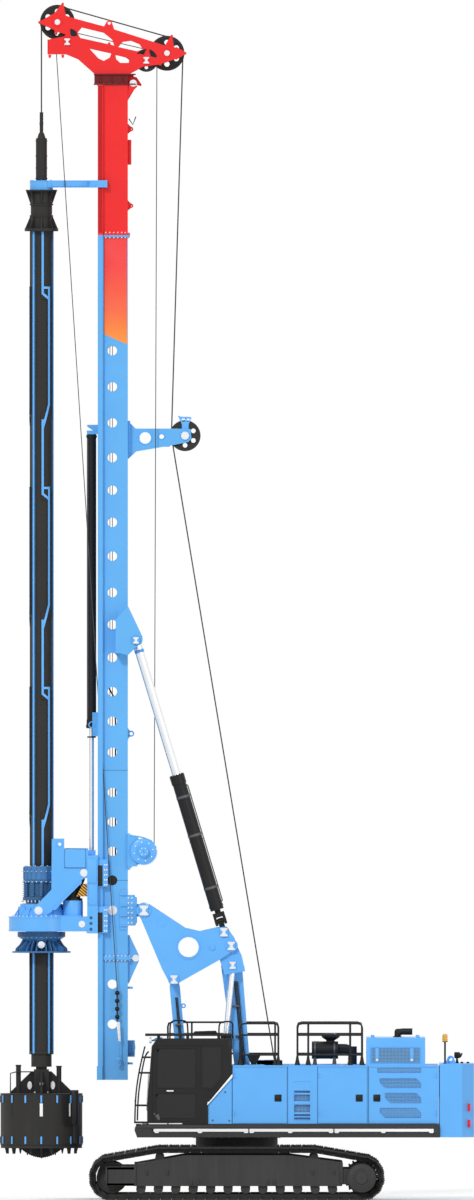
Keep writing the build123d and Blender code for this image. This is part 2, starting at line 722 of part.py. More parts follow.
def intake_and_exhaust():
    """Air cleaner with its bent pipe, and the exhaust bend on the hood."""
    y, z, x = cleaner_y, cleaner_z, cleaner_pipe
    middle = 1860.0
    cleaner = fuse([
        disc_x(y, z, cleaner_r, cleaner_front, cleaner_rear),
        box(1540, 1580, y - 60, y + 60, house_top, z + 5),
        bar((cleaner_rear, y, z), (x, y, z), duct_r),
        bar((x, y, z + duct_r), (x, y, house_top), duct_r),
        disc_z(middle, y, 150, 3230, 3312),
        disc_z(middle, y, 70, 3100, 3240),
    ])
    x, z, r = exhaust_x, exhaust_z, exhaust_r
    pipe = fuse([disc_z(x, 0, r, hood_top, z), Pos(x, 0, z) * Sphere(r), disc_x(0, z, r, x, x + 297)])
    return [cleaner, pipe]


def beacon():
    """Flashing lamp on its pole."""
    x, y = 4160.0, beacon_inset - deck_half
    return fuse([disc_z(x, y, 18, weight_high, 3180), disc_z(x, y, 62, 3180, 3330)])


# ---------------------------------------------------------------- boom linkage


def along_arm(foot, s, across):
    """Point s up an arm from its foot and across it, in the side plane."""
    up = (-math.sin(lean), math.cos(lean))
    side = (math.cos(lean), math.sin(lean))
    return foot[0] + s * up[0] + across * side[0], foot[1] + s * up[1] + across * side[1]


def boom():
    """Rear arm: box girder with two head plates, the luffing rods' eyes between them and the box."""
    body = plate_xz([along_arm(boom_foot, s, a) for s, a in (
        (60, -118), (60, 118), (200, 150), (arm_length - 380, 180), (arm_length - 100, 150),
        (arm_length - 60, -120), (arm_length - 380, -240), (200, -150))], -boom_half, boom_half)
    body = fuse([body, disc_y(*boom_foot, 125, -boom_half, boom_half)])
    body = body - disc_y(*boom_foot, pin_r + seat_gap, -boom_half - 1, boom_half + 1)
    outline = [along_arm(boom_foot, s, a) for s, a in (
        (arm_length - 560, -190), (arm_length - 530, 230), (arm_length - 220, 190), (arm_length + 20, 105),
        (arm_length + 115, 0), (arm_length + 60, -110), (arm_length - 230, -262))]
    pieces = [body] + both_sides(plate_xz(outline, head_inner, head_inner + head_plate))
    reach = tri_inner + tri_plate + 20
    pieces.append(disc_y(*boom_top, pin_r, -reach, reach))
    pieces.append(disc_y(*boom_top, 105, -head_inner - 5, head_inner + 5))
    pieces += both_sides(disc_y(*strut_top, 75, head_inner + 5, tri_inner - gap))
    return fuse(pieces)


def front_link():
    """Front arm: slim box with eyes at both ends."""
    body = plate_xz([along_arm(link_foot, s, a) for s, a in (
        (40, -78), (40, 78), (140, 103), (arm_length - 140, 103), (arm_length - 40, 78),
        (arm_length - 40, -78), (arm_length - 140, -103), (140, -103))], -link_half, link_half)
    eyes = [disc_y(*link_foot, 82, -link_half, link_half), disc_y(*link_top, 100, -link_half, link_half)]
    body = fuse([body, *eyes])
    for point in (link_foot, link_top):
        body = body - disc_y(*point, pin_r + seat_gap, -link_half - 1, link_half + 1)
    return body


def triangle():
    """Two side plates with cross tubes that carry the mast pivot and the stay cylinders' feet."""
    y0, y1 = tri_inner, tri_inner + tri_plate
    side = plate_xz(tri_outline, y0, y1)
    side = side - disc_y(*tri_window, y0 - 1, y1 + 1)
    side = side - disc_y(*boom_top, pin_r + seat_gap, y0 - 1, y1 + 1)
    side = side - disc_y(*pivot, mast_pin_r + seat_gap, y0 - 1, y1 + 1)
    boss = disc_y(*link_top, 100, link_half + gap, y0 + 5)
    pieces = both_sides(fuse([side, boss]))
    pieces.append(disc_y(*link_top, pin_r, -y1 - 20, y1 + 20))
    for x, z, r in tri_tubes:
        pieces.append(disc_y(x, z, r, -y1 - 8, y1 + 8))
    pieces.append(disc_y(*stay_foot, pin_r, -y1 - 20, y1 + 20))
    return fuse(pieces)


def swivel_bracket():
    """Cross piece: pin through the triangle, and a trunnion towards the mast."""
    half = tri_inner - gap
    eye = disc_y(*pivot, 130, -half, half)
    reach = tri_inner + tri_plate + 20
    pin = disc_y(*pivot, mast_pin_r, -reach, reach)
    block = box(pivot[0] - 150, pivot[0], -240, 240, pivot[1] - 125, pivot[1] + 125)
    face = disc_x(0, pivot[1], 260, mast_rear + seat_depth + gap, mast_rear + seat_depth + 40)
    trunnion = disc_x(0, pivot[1], trunnion_r, mast_rear + 15, pivot[0])
    return fuse([eye, pin, block, face, trunnion])


def rod_axis(foot, head):
    """Unit vector and length from a cylinder's foot to its head."""
    dx, dz = head[0] - foot[0], head[1] - foot[1]
    length = math.hypot(dx, dz)
    return (dx / length, dz / length), length


def on_axis(foot, unit, s, y):
    """Point s along a cylinder from its foot, at side position y."""
    return foot[0] + s * unit[0], y, foot[1] + s * unit[1]


def ram(foot, head, y, barrel_r, rod_r, barrel_from, barrel_to, rod_from, shrink, eye_r):
    """Barrel and rod of one hydraulic cylinder lying in the side plane at y."""
    unit, length = rod_axis(foot, head)

    def at(s):
        return on_axis(foot, unit, s, y)

    tube = bar(at(barrel_from), at(barrel_to), barrel_r)
    gland = bar(at(barrel_to - 180), at(barrel_to), barrel_r + 14)
    barrel = fuse([tube, gland]) - bar(at(rod_from - shrink - 20), at(barrel_to + 1), rod_r + seat_gap)
    rod = bar(at(rod_from), at(length - eye_r - 15), rod_r)
    neck = bar(at(length - eye_r - 40), at(length - 20), eye_half - 5)
    eye = disc_y(head[0], head[1], eye_r, y - eye_half, y + eye_half)
    return barrel, fuse([rod, neck, eye])


def luff_parts():
    """Barrels and rods of the two luffing cylinders."""
    barrels, rods = [], []
    for s in (-1, 1):
        y = s * strut_y
        barrel, rod = ram(strut_foot, strut_top, y, strut_barrel_r, strut_rod_r, 130, 1700, 1100,
                          strut_shrink, 95)
        eye = disc_y(*strut_foot, 92, y - eye_half, y + eye_half)
        unit, _ = rod_axis(strut_foot, strut_top)
        neck = bar(on_axis(strut_foot, unit, 0, y), on_axis(strut_foot, unit, 140, y), eye_half - 2)
        barrel = fuse([barrel, eye, neck])
        barrels.append(barrel - disc_y(*strut_foot, pin_r + seat_gap, y - 60, y + 60))
        rods.append(rod)
    return barrels, rods


def stay_parts(side):
    """Foot cross, barrel and rod of one mast stay cylinder."""
    unit, length = rod_axis(stay_foot, stay_head)
    y = side * stay_y

    def at(s):
        return on_axis(stay_foot, unit, s, y)

    barrel, rod = ram(stay_foot, stay_head, y, stay_barrel_r, stay_rod_r, 465, 3277, 2770, stay_shrink, 95)
    normal = Vector(unit[1], 0, -unit[0])
    centre = Vector(*at(cross_axis))
    pin = Solid.make_cylinder(cross_pin_r, 240, Plane(centre - normal * 120, z_dir=normal))
    hole = Solid.make_cylinder(cross_pin_r + seat_gap, 260, Plane(centre - normal * 130, z_dir=normal))
    # cross: eye on the triangle's pin, tongue with the sideways-tilt pin
    tongue = Plane(at(0), x_dir=(0, 1, 0), z_dir=(unit[0], 0, unit[1])) * Pos(0, 0, 145) * Box(80, 110, 290)
    cross = fuse([disc_y(*stay_foot, 105, y - 45, y + 45), tongue, pin])
    cross = cross - disc_y(*stay_foot, pin_r + seat_gap, y - 60, y + 60)
    # fork on the barrel that straddles the tongue
    frame = Plane(at(0), x_dir=(0, 1, 0), z_dir=(unit[0], 0, unit[1]))
    fork = frame * Pos(0, 0, 280) * Box(220, 236, 250)
    fork = fork - frame * Pos(0, 0, 215) * Box(222, 128, 200)
    neck = bar(at(395), at(475), 60)
    barrel = fuse([barrel, neck, fork]) - hole
    return cross, barrel, rod


# ---------------------------------------------------------------- mast


def mast_section(z0, z1, holes):
    """Box section with front rails, end flanges and lightening holes."""
    half = mast_box_half
    outer = box(mast_front + 5, mast_rear, -half, half, z0, z1)
    rails = both_sides(box(mast_front, mast_front + rail_depth, half - 20, rail_half, z0, z1))
    front = box(mast_front, mast_front + 20, -half, half, z0, z1)
    body = fuse([outer, *rails, front])
    t = mast_wall
    body = body - box(mast_front + 20 + t, mast_rear - t, -half + t, half - t, z0 + flange, z1 - flange)
    for z in holes:
        body = body - disc_y(hole_x, z, hole_radius, -half - 1, half + 1)
    return body


def stay_bracket_plates():
    """Two wide forks on the mast for the stay rods' eyes; no pin crosses an eye."""
    x, z = stay_head
    ear = [(-2420, z + 420), (mast_rear, z + 690), (x + 126, z + 77), (x + 132, z), (x + 110, z - 70),
           (x + 30, z - 112), (mast_rear, z - 296), (-2420, z - 240)]
    inner_ear = [p for p in ear if p[0] > mast_rear - 1]
    inner_ear = [(mast_rear - 5, z + 690), *inner_ear[1:-1], (mast_rear - 5, z - 296)]
    outer_y = stay_y + eye_half + swing_room
    inner_y = stay_y - eye_half - swing_room
    pieces = []
    for s in (-1, 1):
        pieces.append(plate_xz(ear, s * outer_y, s * (outer_y + 25)))
        pieces.append(plate_xz(inner_ear, s * (inner_y - 25), s * inner_y))
        for z0 in (z - 240, z + 390):
            pieces.append(box(-2420, -2300, s * (mast_box_half - 5), s * (outer_y + 25), z0, z0 + 30))
        pieces.append(box(-2420, -2395, s * (mast_box_half - 5), s * (outer_y + 25), z - 240, z + 420))
        pieces.append(disc_y(x, z, 62, s * (outer_y + 20), s * (outer_y + 45)))
    return pieces


def guide_arm():
    """Two plates behind the mast with the guide sheave's shaft between them."""
    x, z = sheave_rows["guide_sheave"][:2]
    outline = [(mast_rear - 5, z + 306), (-2022, z + 142), (-1303, z + 142), (x + 110, z + 134),
               (x + 130, z - 60), (x + 60, z - 130), (-1283, z - 191), (-2010, z - 317),
               (mast_rear - 5, z - 478)]
    holes = [disc_y(-1831, z - 46, 115, -200, 200), disc_y(-1502, z - 19, 45, -200, 200)]
    pieces = [disc_y(x, z, guide_shaft, -100, 100), box(-1960, -1940, -75, 75, z - 250, z + 100)]
    return pieces + both_sides(plate_xz(outline, 70, 95) - holes[0] - holes[1])


def pivot_seat():
    """Thick plate on the mast's back with the trunnion bore."""
    z = pivot[1]
    seat = box(mast_rear - 5, mast_rear + seat_depth, -280, 280, z - 305, z + 305)
    return seat - disc_x(0, z, trunnion_r + seat_gap, mast_rear + 10, mast_rear + seat_depth + 10)


def service_cheeks():
    """Side plates and shaft of the service winch."""
    x, z = service
    near, far = -2000, x + 60
    outline = [(mast_rear - 5, z + 300), (near, z + 300), (far, z + 60), (far, z - 60), (near, z - 300),
               (mast_rear - 5, z - 300)]
    reach = service_half + 20
    cheeks = [plate_xz(outline, y - 12, y + 12) for y in (service_y - reach, service_y + reach)]
    return cheeks + [disc_y(x, z, service_shaft, service_y - reach - 10, service_y + reach + 10)]


def mast_middle():
    """Long middle section with guide arm, stay brackets, service winch cheeks and pivot seat."""
    pieces = [mast_section(lower_joint, upper_joint, middle_holes)]
    pieces += guide_arm()
    pieces += stay_bracket_plates()
    pieces.append(box(crowd_x - crowd_r, mast_front + 10, -crowd_r - 20, crowd_r + 20,
                      crowd_top, crowd_top + 60))
    pieces.append(pivot_seat())
    pieces += service_cheeks()
    z, top = lower_joint, lower_joint + fold_high
    fold = [(mast_rear - 5, top), (mast_rear + 30, top), (fold_x, z + 66), (fold_x, z + 6),
            (mast_rear - 5, z + 6)]
    pieces += both_sides(plate_xz(fold, fold_y0, fold_y1))
    return fuse(pieces)


def service_winch_drum():
    """Drum of the service winch on the mast's back."""
    y, half = service_y, service_half
    core = disc_y(*service, service_core, y - half, y + half)
    rims = [disc_y(*service, service_rim, y + s * (half - 20), y + s * half) for s in (-1, 1)]
    return fuse([core, *rims]) - disc_y(*service, service_shaft + seat_gap, y - 400, y + 400)


def crowd_barrel():
    """Long crowd cylinder barrel in front of the mast with its lower seat."""
    tube = disc_z(crowd_x, 0, crowd_r, crowd_low, crowd_top)
    seat = box(crowd_x, mast_front, -crowd_r - 40, crowd_r + 40, 9270, 9750)
    block = box(crowd_x - 100, crowd_x + 20, -crowd_r - 40, crowd_r + 40, crowd_low, crowd_low + 170)
    body = fuse([tube, seat, block])
    return body - disc_z(crowd_x, 0, crowd_rod_r + seat_gap, 9000, 14500)


def crowd_rod():
    """Crowd cylinder rod with its lower eye on the rotary carriage."""
    rod = disc_z(crowd_x, 0, crowd_rod_r, crowd_eye, 12030)
    eye = disc_y(crowd_x, crowd_eye, 75, -70, 70)
    return fuse([rod, eye])


def mast_lower():
    """Foot section with its fold bracket and stop blocks."""
    pieces = [mast_section(mast_foot, lower_joint, lower_holes)]
    z, low = lower_joint, lower_joint - fold_low
    fold = [(mast_rear - 5, z - 6), (fold_x, z - 6), (fold_x, z - 64), (mast_rear + 20, low),
            (mast_rear - 5, low)]
    pieces += both_sides(plate_xz(fold, fold_y0, fold_y1))
    stop = box(mast_front - 20, mast_front + 90, 300, rail_half + 30, mast_foot, mast_foot + 270)
    pieces += both_sides(stop)
    pieces.append(box(mast_rear - 5, mast_rear + 140, -30, 30, 2860, 3190))
    return fuse(pieces)


def mast_upper():
    """Top section under the head."""
    pieces = [mast_section(upper_joint, mast_head, [])]
    pieces += both_sides(plate_xz([(mast_rear - 5, mast_head - 320), (mast_rear - 5, mast_head),
                                   (-2010, mast_head - 30)], 200, 230))
    return fuse(pieces)


def mast_head_frame():
    """Head with two side plates that carry the sheaves."""
    y0, y1 = head_plate_y, head_plate_y + plate
    side = plate_xz(head_outline, y0, y1)
    for window in head_windows:
        side = side - plate_xz(window, y0 - 1, y1 + 1)
    side = side - disc_y(*head_eye, head_eye_r, y0 - 1, y1 + 1)
    pieces = both_sides(side)
    pieces.append(box(-2848, -2176, -y1, y1, mast_head, head_base_top))
    for name in head_sheaves:
        x, z = sheave_rows[name][:2]
        pieces.append(disc_y(x, z, head_shaft, -y1 - 15, y1 + 15))
    pieces.append(disc_y(-2700, 22640, 60, -y0 - 5, y0 + 5))
    return fuse(pieces)


def sheave(name):
    """Grooved rope sheave with lightening holes, turning on its shaft."""
    x, z, r, pitch, y, width = sheave_rows[name]
    half = width / 2
    rope_r = 16.0 if r > 300 else 10.0
    groove = disc_y(x, z, r + 1, y - rope_r - 4, y + rope_r + 4)
    groove = groove - disc_y(x, z, pitch - rope_r, y - half, y + half)
    wheel = disc_y(x, z, r, y - half, y + half) - groove
    for i in range(6):
        hole_at = polar((x, z), 0.62 * r, 60 * i + 30)
        wheel = wheel - disc_y(*hole_at, 0.15 * r, y - half - 1, y + half + 1)
    shaft = head_shaft if name in head_sheaves else guide_shaft
    return wheel - disc_y(x, z, shaft + seat_gap, y - half - 1, y + half + 1)


# ---------------------------------------------------------------- rotary head


def rail_claw(z0, z1, depth):
    """Claws that reach round both mast rails between two heights."""
    near, far = rail_half + gap, rail_half + 50
    hook = mast_front + rail_depth
    return [*both_sides(box(carriage_x, hook + depth, near, far, z0, z1)),
            *both_sides(box(hook + gap, hook + depth, mast_box_half + gap, far, z0, z1))]


def rotary_frame():
    """Gearbox with carriage, side arms and rail claws, one welded piece."""
    z0, z1 = gearbox_low, gearbox_high
    half = carriage_half
    case = fuse([disc_z(kelly_x, 0, gearbox_r, z0, z1), box(kelly_x, carriage_x, -half, half, z0, z1)])
    pieces = [case - disc_z(kelly_x, 0, sleeve_r + seat_gap, z0 - 1, z1 + 1)]
    arm = plate_xz(arm_outline, half - 50, half)
    pieces += both_sides(arm - disc_y(*arm_ear, half - 51, half + 1))
    pieces += both_sides(box(carriage_x, mast_front - seat_gap, 300, half, 5330, 6890))
    for low, high in claw_rows:
        pieces += rail_claw(low, high, 100)
    pieces.append(box(carriage_x, crowd_x - 100, -half, half, 5340, z1 - 5))
    pieces += both_sides(box(carriage_x - 20, crowd_x + 80, 70, 310, 6700, 6990))
    pieces.append(box(-4363, -4230, -300, 300, z1 - 5, 5859))
    return fuse(pieces)


def rotary_motors():
    """Two drive motors with their reducers on the gearbox."""
    low, middle, high = gearbox_high, 6030, 6350
    return [fuse([disc_z(motor_x, y, 190, low, middle), disc_z(motor_x, y, 140, middle, high)])
            for y in (-motor_y, motor_y)]


def drive_sleeve():
    """Turning sleeve: spring unit on top, casing drive flange below."""
    x = kelly_x
    pieces = [disc_z(x, 0, r, z0, z1) for r, z0, z1 in sleeve_steps]
    rib = plate_xz([(x + 300, 5270), (x + 360, 5270), (x + 525, 5020), (x + 525, 4965),
                    (x + 300, 4965)], -15, 15)
    pieces += [turned_about_z(rib, x, 22.5 + 45 * i) for i in range(8)]
    spring = disc_z(x + spring_ring, 0, spring_r, 6050, 6390)
    pieces += [turned_about_z(spring, x, 18 + 36 * i) for i in range(10)]
    whole = fuse(pieces) - disc_z(x, 0, sleeve_bore, 4900, 6700)
    return whole - disc_y(x, 5101, casing_hole, -330, 330)


# ---------------------------------------------------------------- kelly and bucket


def key_strip(z0, z1, degrees):
    """Drive key on the kelly tube between two heights, at an angle round it."""
    half = key_width / 2
    strip = box(kelly_x + kelly_radius - 12, kelly_x + key_radius, -half, half, z0, z1)
    return turned_about_z(strip, kelly_x, degrees)


def pocket_back(pocket):
    """Where a key comes back below its pocket; under the last one it stays over down to the foot."""
    return kelly_foot if pocket == pocket_rows[-1] else pocket - pocket_reach


def stepped_key_runs():
    """Height ranges of a stepped key with its angle: normal runs, and runs moved over below each pocket."""
    runs = []
    top = neck_low
    for pocket in pocket_rows:
        back = pocket_back(pocket)
        runs.append((pocket, top, stepped_key))
        runs.append((back, pocket, locked_key))
        top = back
    return runs


def key_bridge(z0, z1):
    """Curved band that joins a stepped key's two places, as overlapping strips."""
    stride = (locked_key - stepped_key) / bridge_strips
    return [key_strip(z0, z1, stepped_key + stride * i) for i in range(bridge_strips + 1)]


def stepped_key_shape():
    """One stepped key with its lock pockets."""
    keys = [key_strip(z0, z1, degrees) for z0, z1, degrees in stepped_key_runs()]
    for pocket in pocket_rows:
        top = pocket + pocket_height
        keys.append(key_strip(pocket, top, locked_key))
        keys += key_bridge(pocket, pocket + key_width)
        keys += key_bridge(top - key_width, top)
    for pocket in pocket_rows[:-1]:
        back = pocket_back(pocket)
        keys += key_bridge(back - key_width, back)
    return fuse(keys)


def drive_keys():
    """Three straight keys, and three that step sideways at the lock pockets."""
    straight = key_strip(kelly_foot, neck_low, straight_key)
    stepped = stepped_key_shape()
    return [turned_about_z(key, kelly_x, third) for third in (0, 120, 240) for key in (straight, stepped)]


def neck_ribs(flange_z, neck_z, flange_r):
    """Eight gussets between the neck and a flange."""
    x = kelly_x
    rib = plate_xz([(x + 200, flange_z), (x + flange_r, flange_z), (x + 225, neck_z), (x + 200, neck_z)],
                   -12, 12)
    return [turned_about_z(rib, x, 45 * i) for i in range(8)]


def outer_kelly():
    """Outer kelly tube with drive keys, and the ribbed head."""
    x = kelly_x
    pieces = [disc_z(x, 0, kelly_radius, kelly_foot, neck_top), *drive_keys()]
    pieces.append(disc_z(x, 0, 315, neck_top - 30, neck_top))
    pieces.append(disc_z(x, 0, 337, kelly_head, neck_low))
    pieces += neck_ribs(neck_top - 25, neck_top - 270, 310)
    pieces += neck_ribs(neck_low - 10, neck_low + 240, 330)
    whole = fuse(pieces) - disc_z(x, 0, kelly_bore, kelly_foot - 1, neck_top - 140)
    return whole - disc_z(x, 0, neck_bore, neck_top - 200, neck_top + 100)


def inner_kelly():
    """Inner bar: round upper part with its rope swivel, square stub at the foot."""
    x, half = kelly_x, stub_half
    return fuse([
        disc_z(x, 0, 112, 2700, 21230),
        disc_z(x, 0, 36, 21230, 21750),
        disc_z(x, 0, kelly_bore - 6, 2700, 12000),
        disc_z(x, 0, 205, 2660, kelly_foot - seat_gap),
        box(x - half, x + half, -half, half, bucket_top + 20, 2680),
    ])


def kelly_guide():
    """Guide frame: ring round the kelly's neck and a fork that runs on the mast rails."""
    z0, z1 = neck_top + 45, neck_top + 185
    back = -2932.0
    hook = mast_front + rail_depth
    near, far = rail_half + gap, rail_half + 50
    pieces = [tube_z(kelly_x, 0, 232, 118, neck_top + seat_gap, z1)]
    pieces += both_sides(box(kelly_x + 100, mast_front - 60, 120, 190, z0, z1))
    pieces += both_sides(box(back, mast_front - seat_gap, 120, far, z0, z1))
    pieces += both_sides(box(back, hook + 90, near, far, z0, z1))
    pieces += both_sides(box(hook + gap, hook + 90, mast_box_half + gap, far, z0, z1))
    return fuse(pieces)


def bucket():
    """Drilling bucket shell with its top plate, gussets, guide tubes, wear strips and kelly box."""
    x, r, top = kelly_x, bucket_radius, bucket_top
    pieces = [
        tube_z(x, 0, r, r - bucket_wall, bucket_bottom, top),
        disc_z(x, 0, r - 2, top - 40, top),
        box(x - 150, x + 150, -150, 150, top - 10, top + 480),
        disc_z(x - 460, 0, 50, top - 5, top + 560),
        disc_z(x + 350, 0, 50, top - 5, top + 540),
    ]
    gusset = plate_xz([(x + 140, top - 5), (x + 620, top - 5), (x + 620, top + 30), (x + 200, top + 440),
                       (x + 140, top + 440)], -20, 20)
    pieces += [turned_about_z(gusset, x, 90 * i) for i in range(4)]
    for z0, z1 in ((top - 180, top - 40), (bucket_bottom + 30, bucket_bottom + 170)):
        strip = box(x + r - 6, x + r + wear_strip, -15, 15, z0, z1)
        pieces += [turned_about_z(strip, x, 22.5 * i) for i in range(16)]
    stub = stub_half + seat_gap
    return fuse(pieces) - box(x - stub, x + stub, -stub, stub, top + 20, top + 500)


def bucket_base():
    """Hinged bottom with its teeth and pilot."""
    root = bucket_bottom - 55
    pieces = [disc_z(kelly_x, 0, bucket_radius - 14, bucket_bottom - 60, bucket_bottom - seat_gap)]
    for out, drop in ((280, 150), (420, 120), (560, 90), (700, 90)):
        for x in (kelly_x - out, kelly_x + out):
            tooth = [(x - 35, root), (x + 35, root), (x + 8, root - drop), (x - 12, root - drop)]
            pieces.append(plate_xz(tooth, -30, 30))
    pilot = [(kelly_x - 220, root), (kelly_x + 220, root), (kelly_x, root - 221)]
    pieces.append(plate_xz(pilot, -40, 40))
    return fuse(pieces)


# ---------------------------------------------------------------- write the sub-parts


def build_all():
    """Every node with its solids."""
    nodes = {"car_body": car_body()}
    for name, side in (("left", -1), ("right", 1)):
        nodes[f"track_{name}"] = track_loop(side)
        nodes[f"track_frame_{name}"] = track_frame(side)
        nodes[f"catwalk_{name}"] = catwalk(side)
        cross, barrel, rod = stay_parts(side)
        nodes[f"stay_foot_{name}"] = cross
        nodes[f"stay_barrel_{name}"] = barrel
        nodes[f"stay_rod_{name}"] = rod
    nodes["deck"] = deck()
    nodes["main_winch_drum"] = main_winch_drum()
    nodes["engine_house"] = engine_house()
    for name, side, x0, x1, _ in door_rows:
        nodes[name] = house_door(side, x0, x1)
    nodes["hood"] = hood()
    nodes["engine"] = engine()
    nodes["counterweight"] = counterweight()
    nodes["cab_shell"] = cab_shell()
    nodes["cab_door"] = cab_door()
    nodes["cab_glass"] = cab_glass()
    nodes["cab_interior"] = cab_interior()
    nodes["handrails"] = handrails()
    nodes["intake_and_exhaust"] = intake_and_exhaust()
    nodes["beacon"] = beacon()
    nodes["boom"] = boom()
    nodes["front_link"] = front_link()
    nodes["triangle"] = triangle()
    nodes["swivel_bracket"] = swivel_bracket()
    nodes["luff_barrels"], nodes["luff_rods"] = luff_parts()
    nodes["mast_middle"] = mast_middle()
    nodes["service_winch_drum"] = service_winch_drum()
    nodes["crowd_barrel"] = crowd_barrel()
    nodes["crowd_rod"] = crowd_rod()
    nodes["mast_lower"] = mast_lower()
    nodes["mast_upper"] = mast_upper()
    nodes["mast_head_frame"] = mast_head_frame()
    for name in sheave_rows:
        nodes[name] = sheave(name)
    nodes["rotary_frame"] = rotary_frame()
    nodes["rotary_motors"] = rotary_motors()
    nodes["drive_sleeve"] = drive_sleeve()
    nodes["outer_kelly"] = outer_kelly()
    nodes["inner_kelly"] = inner_kelly()
    nodes["kelly_guide"] = kelly_guide()
    nodes["bucket"] = bucket()
    nodes["bucket_base"] = bucket_base()
    return nodes


os.makedirs("parts", exist_ok=True)
for node, shape in build_all().items():
    solids = shape if isinstance(shape, list) else [shape]
    solids = [s for piece in solids for s in piece.solids()]
    export_step(Compound(children=solids) if len(solids) > 1 else solids[0], f"parts/{node}.step")
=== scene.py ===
import json
import math
import bpy
import bmesh
from mathutils import Matrix, Vector


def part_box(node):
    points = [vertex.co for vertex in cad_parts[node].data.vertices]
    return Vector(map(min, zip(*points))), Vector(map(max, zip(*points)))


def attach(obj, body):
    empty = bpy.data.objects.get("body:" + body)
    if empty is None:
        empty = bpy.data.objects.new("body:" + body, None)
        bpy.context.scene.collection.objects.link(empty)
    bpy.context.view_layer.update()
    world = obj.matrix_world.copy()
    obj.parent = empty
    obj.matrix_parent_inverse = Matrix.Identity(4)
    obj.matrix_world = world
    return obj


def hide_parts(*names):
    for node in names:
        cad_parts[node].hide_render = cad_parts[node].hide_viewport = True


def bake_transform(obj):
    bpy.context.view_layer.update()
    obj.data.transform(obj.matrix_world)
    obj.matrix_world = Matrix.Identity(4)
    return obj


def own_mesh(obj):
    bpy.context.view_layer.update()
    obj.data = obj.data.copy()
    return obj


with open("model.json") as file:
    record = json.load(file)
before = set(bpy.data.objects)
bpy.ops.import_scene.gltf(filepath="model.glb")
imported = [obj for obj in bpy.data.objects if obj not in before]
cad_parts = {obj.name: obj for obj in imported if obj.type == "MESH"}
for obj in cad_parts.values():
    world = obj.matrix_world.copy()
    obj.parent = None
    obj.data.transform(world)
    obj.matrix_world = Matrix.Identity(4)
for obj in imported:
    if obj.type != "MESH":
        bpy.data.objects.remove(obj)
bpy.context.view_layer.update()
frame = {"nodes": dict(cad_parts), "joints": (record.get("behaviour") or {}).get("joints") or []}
nodes = frame["nodes"]
jointAt = {j["name"]: Vector(j["pos_m"]) for j in frame["joints"] if "pos_m" in j}
print("frame loaded:", len(nodes), "nodes")


# shader maths: a socket with operators, and one method for every other node

class Wire:
    def __init__(self, tree, socket):
        self.tree = tree
        self.socket = socket

    def math(self, how, other, swapped=False):
        pair = [other, self] if swapped else [self, other]
        return addNode(self.tree, "ShaderNodeMath", {"operation": how}, {0: pair[0], 1: pair[1]})

    def __add__(self, other): return self.math("ADD", other)
    def __radd__(self, other): return self.math("ADD", other, True)
    def __sub__(self, other): return self.math("SUBTRACT", other)
    def __rsub__(self, other): return self.math("SUBTRACT", other, True)
    def __mul__(self, other): return self.math("MULTIPLY", other)
    def __rmul__(self, other): return self.math("MULTIPLY", other, True)
    def __gt__(self, other): return self.math("GREATER_THAN", other)
    def __lt__(self, other): return self.math("LESS_THAN", other)


def addNode(tree, kind, settings=None, inputs=None, out=0):
    node = tree.nodes.new(kind)
    for key, value in (settings or {}).items():
        if key == "stops":
            ramp = node.color_ramp
            while len(ramp.elements) < len(value):
                ramp.elements.new(0.5)
            for element, (place, colour) in zip(ramp.elements, value):
                element.position = place
                element.color = colour if len(colour) == 4 else (*colour, 1)
        else:
            setattr(node, key, value)
    for key, value in (inputs or {}).items():
        if isinstance(value, Wire):
            tree.links.new(value.socket, node.inputs[key])
        else:
            node.inputs[key].default_value = value
    return Wire(tree, node.outputs[out])


def objectPlace(tree):
    place = addNode(tree, "ShaderNodeTexCoord", out=3)
    parts = place.tree.nodes.new("ShaderNodeSeparateXYZ")
    tree.links.new(place.socket, parts.inputs[0])
    return place, [Wire(tree, parts.outputs[i]) for i in range(3)]


def noise(tree, place, scale, detail=3, stretch=(1, 1, 1)):
    spread = addNode(tree, "ShaderNodeMapping", None, {"Vector": place, "Scale": stretch})
    return addNode(tree, "ShaderNodeTexNoise", None, {"Vector": spread, "Scale": scale, "Detail": detail})


def ramp(tree, value, stops):
    return addNode(tree, "ShaderNodeValToRGB", {"stops": stops}, {0: value})


def mix(tree, factor, first, second):
    node = tree.nodes.new("ShaderNodeMix")
    node.data_type = "RGBA"
    for index, value in ((0, factor), (6, first), (7, second)):
        if isinstance(value, Wire):
            tree.links.new(value.socket, node.inputs[index])
        else:
            node.inputs[index].default_value = value if index == 0 else (*value, 1)
    return Wire(tree, node.outputs[2])


def bump(tree, height, strength, distance):
    return addNode(tree, "ShaderNodeBump", None,
                   {"Height": height, "Strength": strength, "Distance": distance})


def newMaterial(name, build, **fixed):
    material = bpy.data.materials.new(name)
    material.use_nodes = True
    tree = material.node_tree
    shader = tree.nodes["Principled BSDF"]
    for key, value in fixed.items():
        shader.inputs[key.replace("_", " ")].default_value = value
    for key, value in build(tree).items():
        tree.links.new(value.socket, shader.inputs[key])
    return material


# finishes

def paintBuild(colour, rough=0.32, dust=0.10, spread=0.06):
    def build(tree):
        place, (_, _, z) = objectPlace(tree)
        clouds = noise(tree, place, 1.3, 4)
        fine = noise(tree, place, 60, 2)
        streaks = noise(tree, place, 2.0, 5, (6, 6, 0.5))
        lighter = tuple(min(1, c * (1 + spread) + 0.004) for c in colour)
        darker = tuple(c * (1 - spread) for c in colour)
        base = mix(tree, clouds, darker, lighter)
        low = addNode(tree, "ShaderNodeMapRange", None, {0: z, 1: 4.0, 2: 0.0, 3: 0.0, 4: 1.0})
        dirt = ramp(tree, streaks * low, [(0.30, (0, 0, 0)), (0.62, (1, 1, 1))])
        base = mix(tree, dirt * dust, base, (0.34, 0.29, 0.22))
        return {
            "Base Color": base,
            "Roughness": rough + 0.10 * clouds + 0.25 * (dirt * dust),
            "Normal": bump(tree, fine, 0.05, 0.002),
        }
    return build


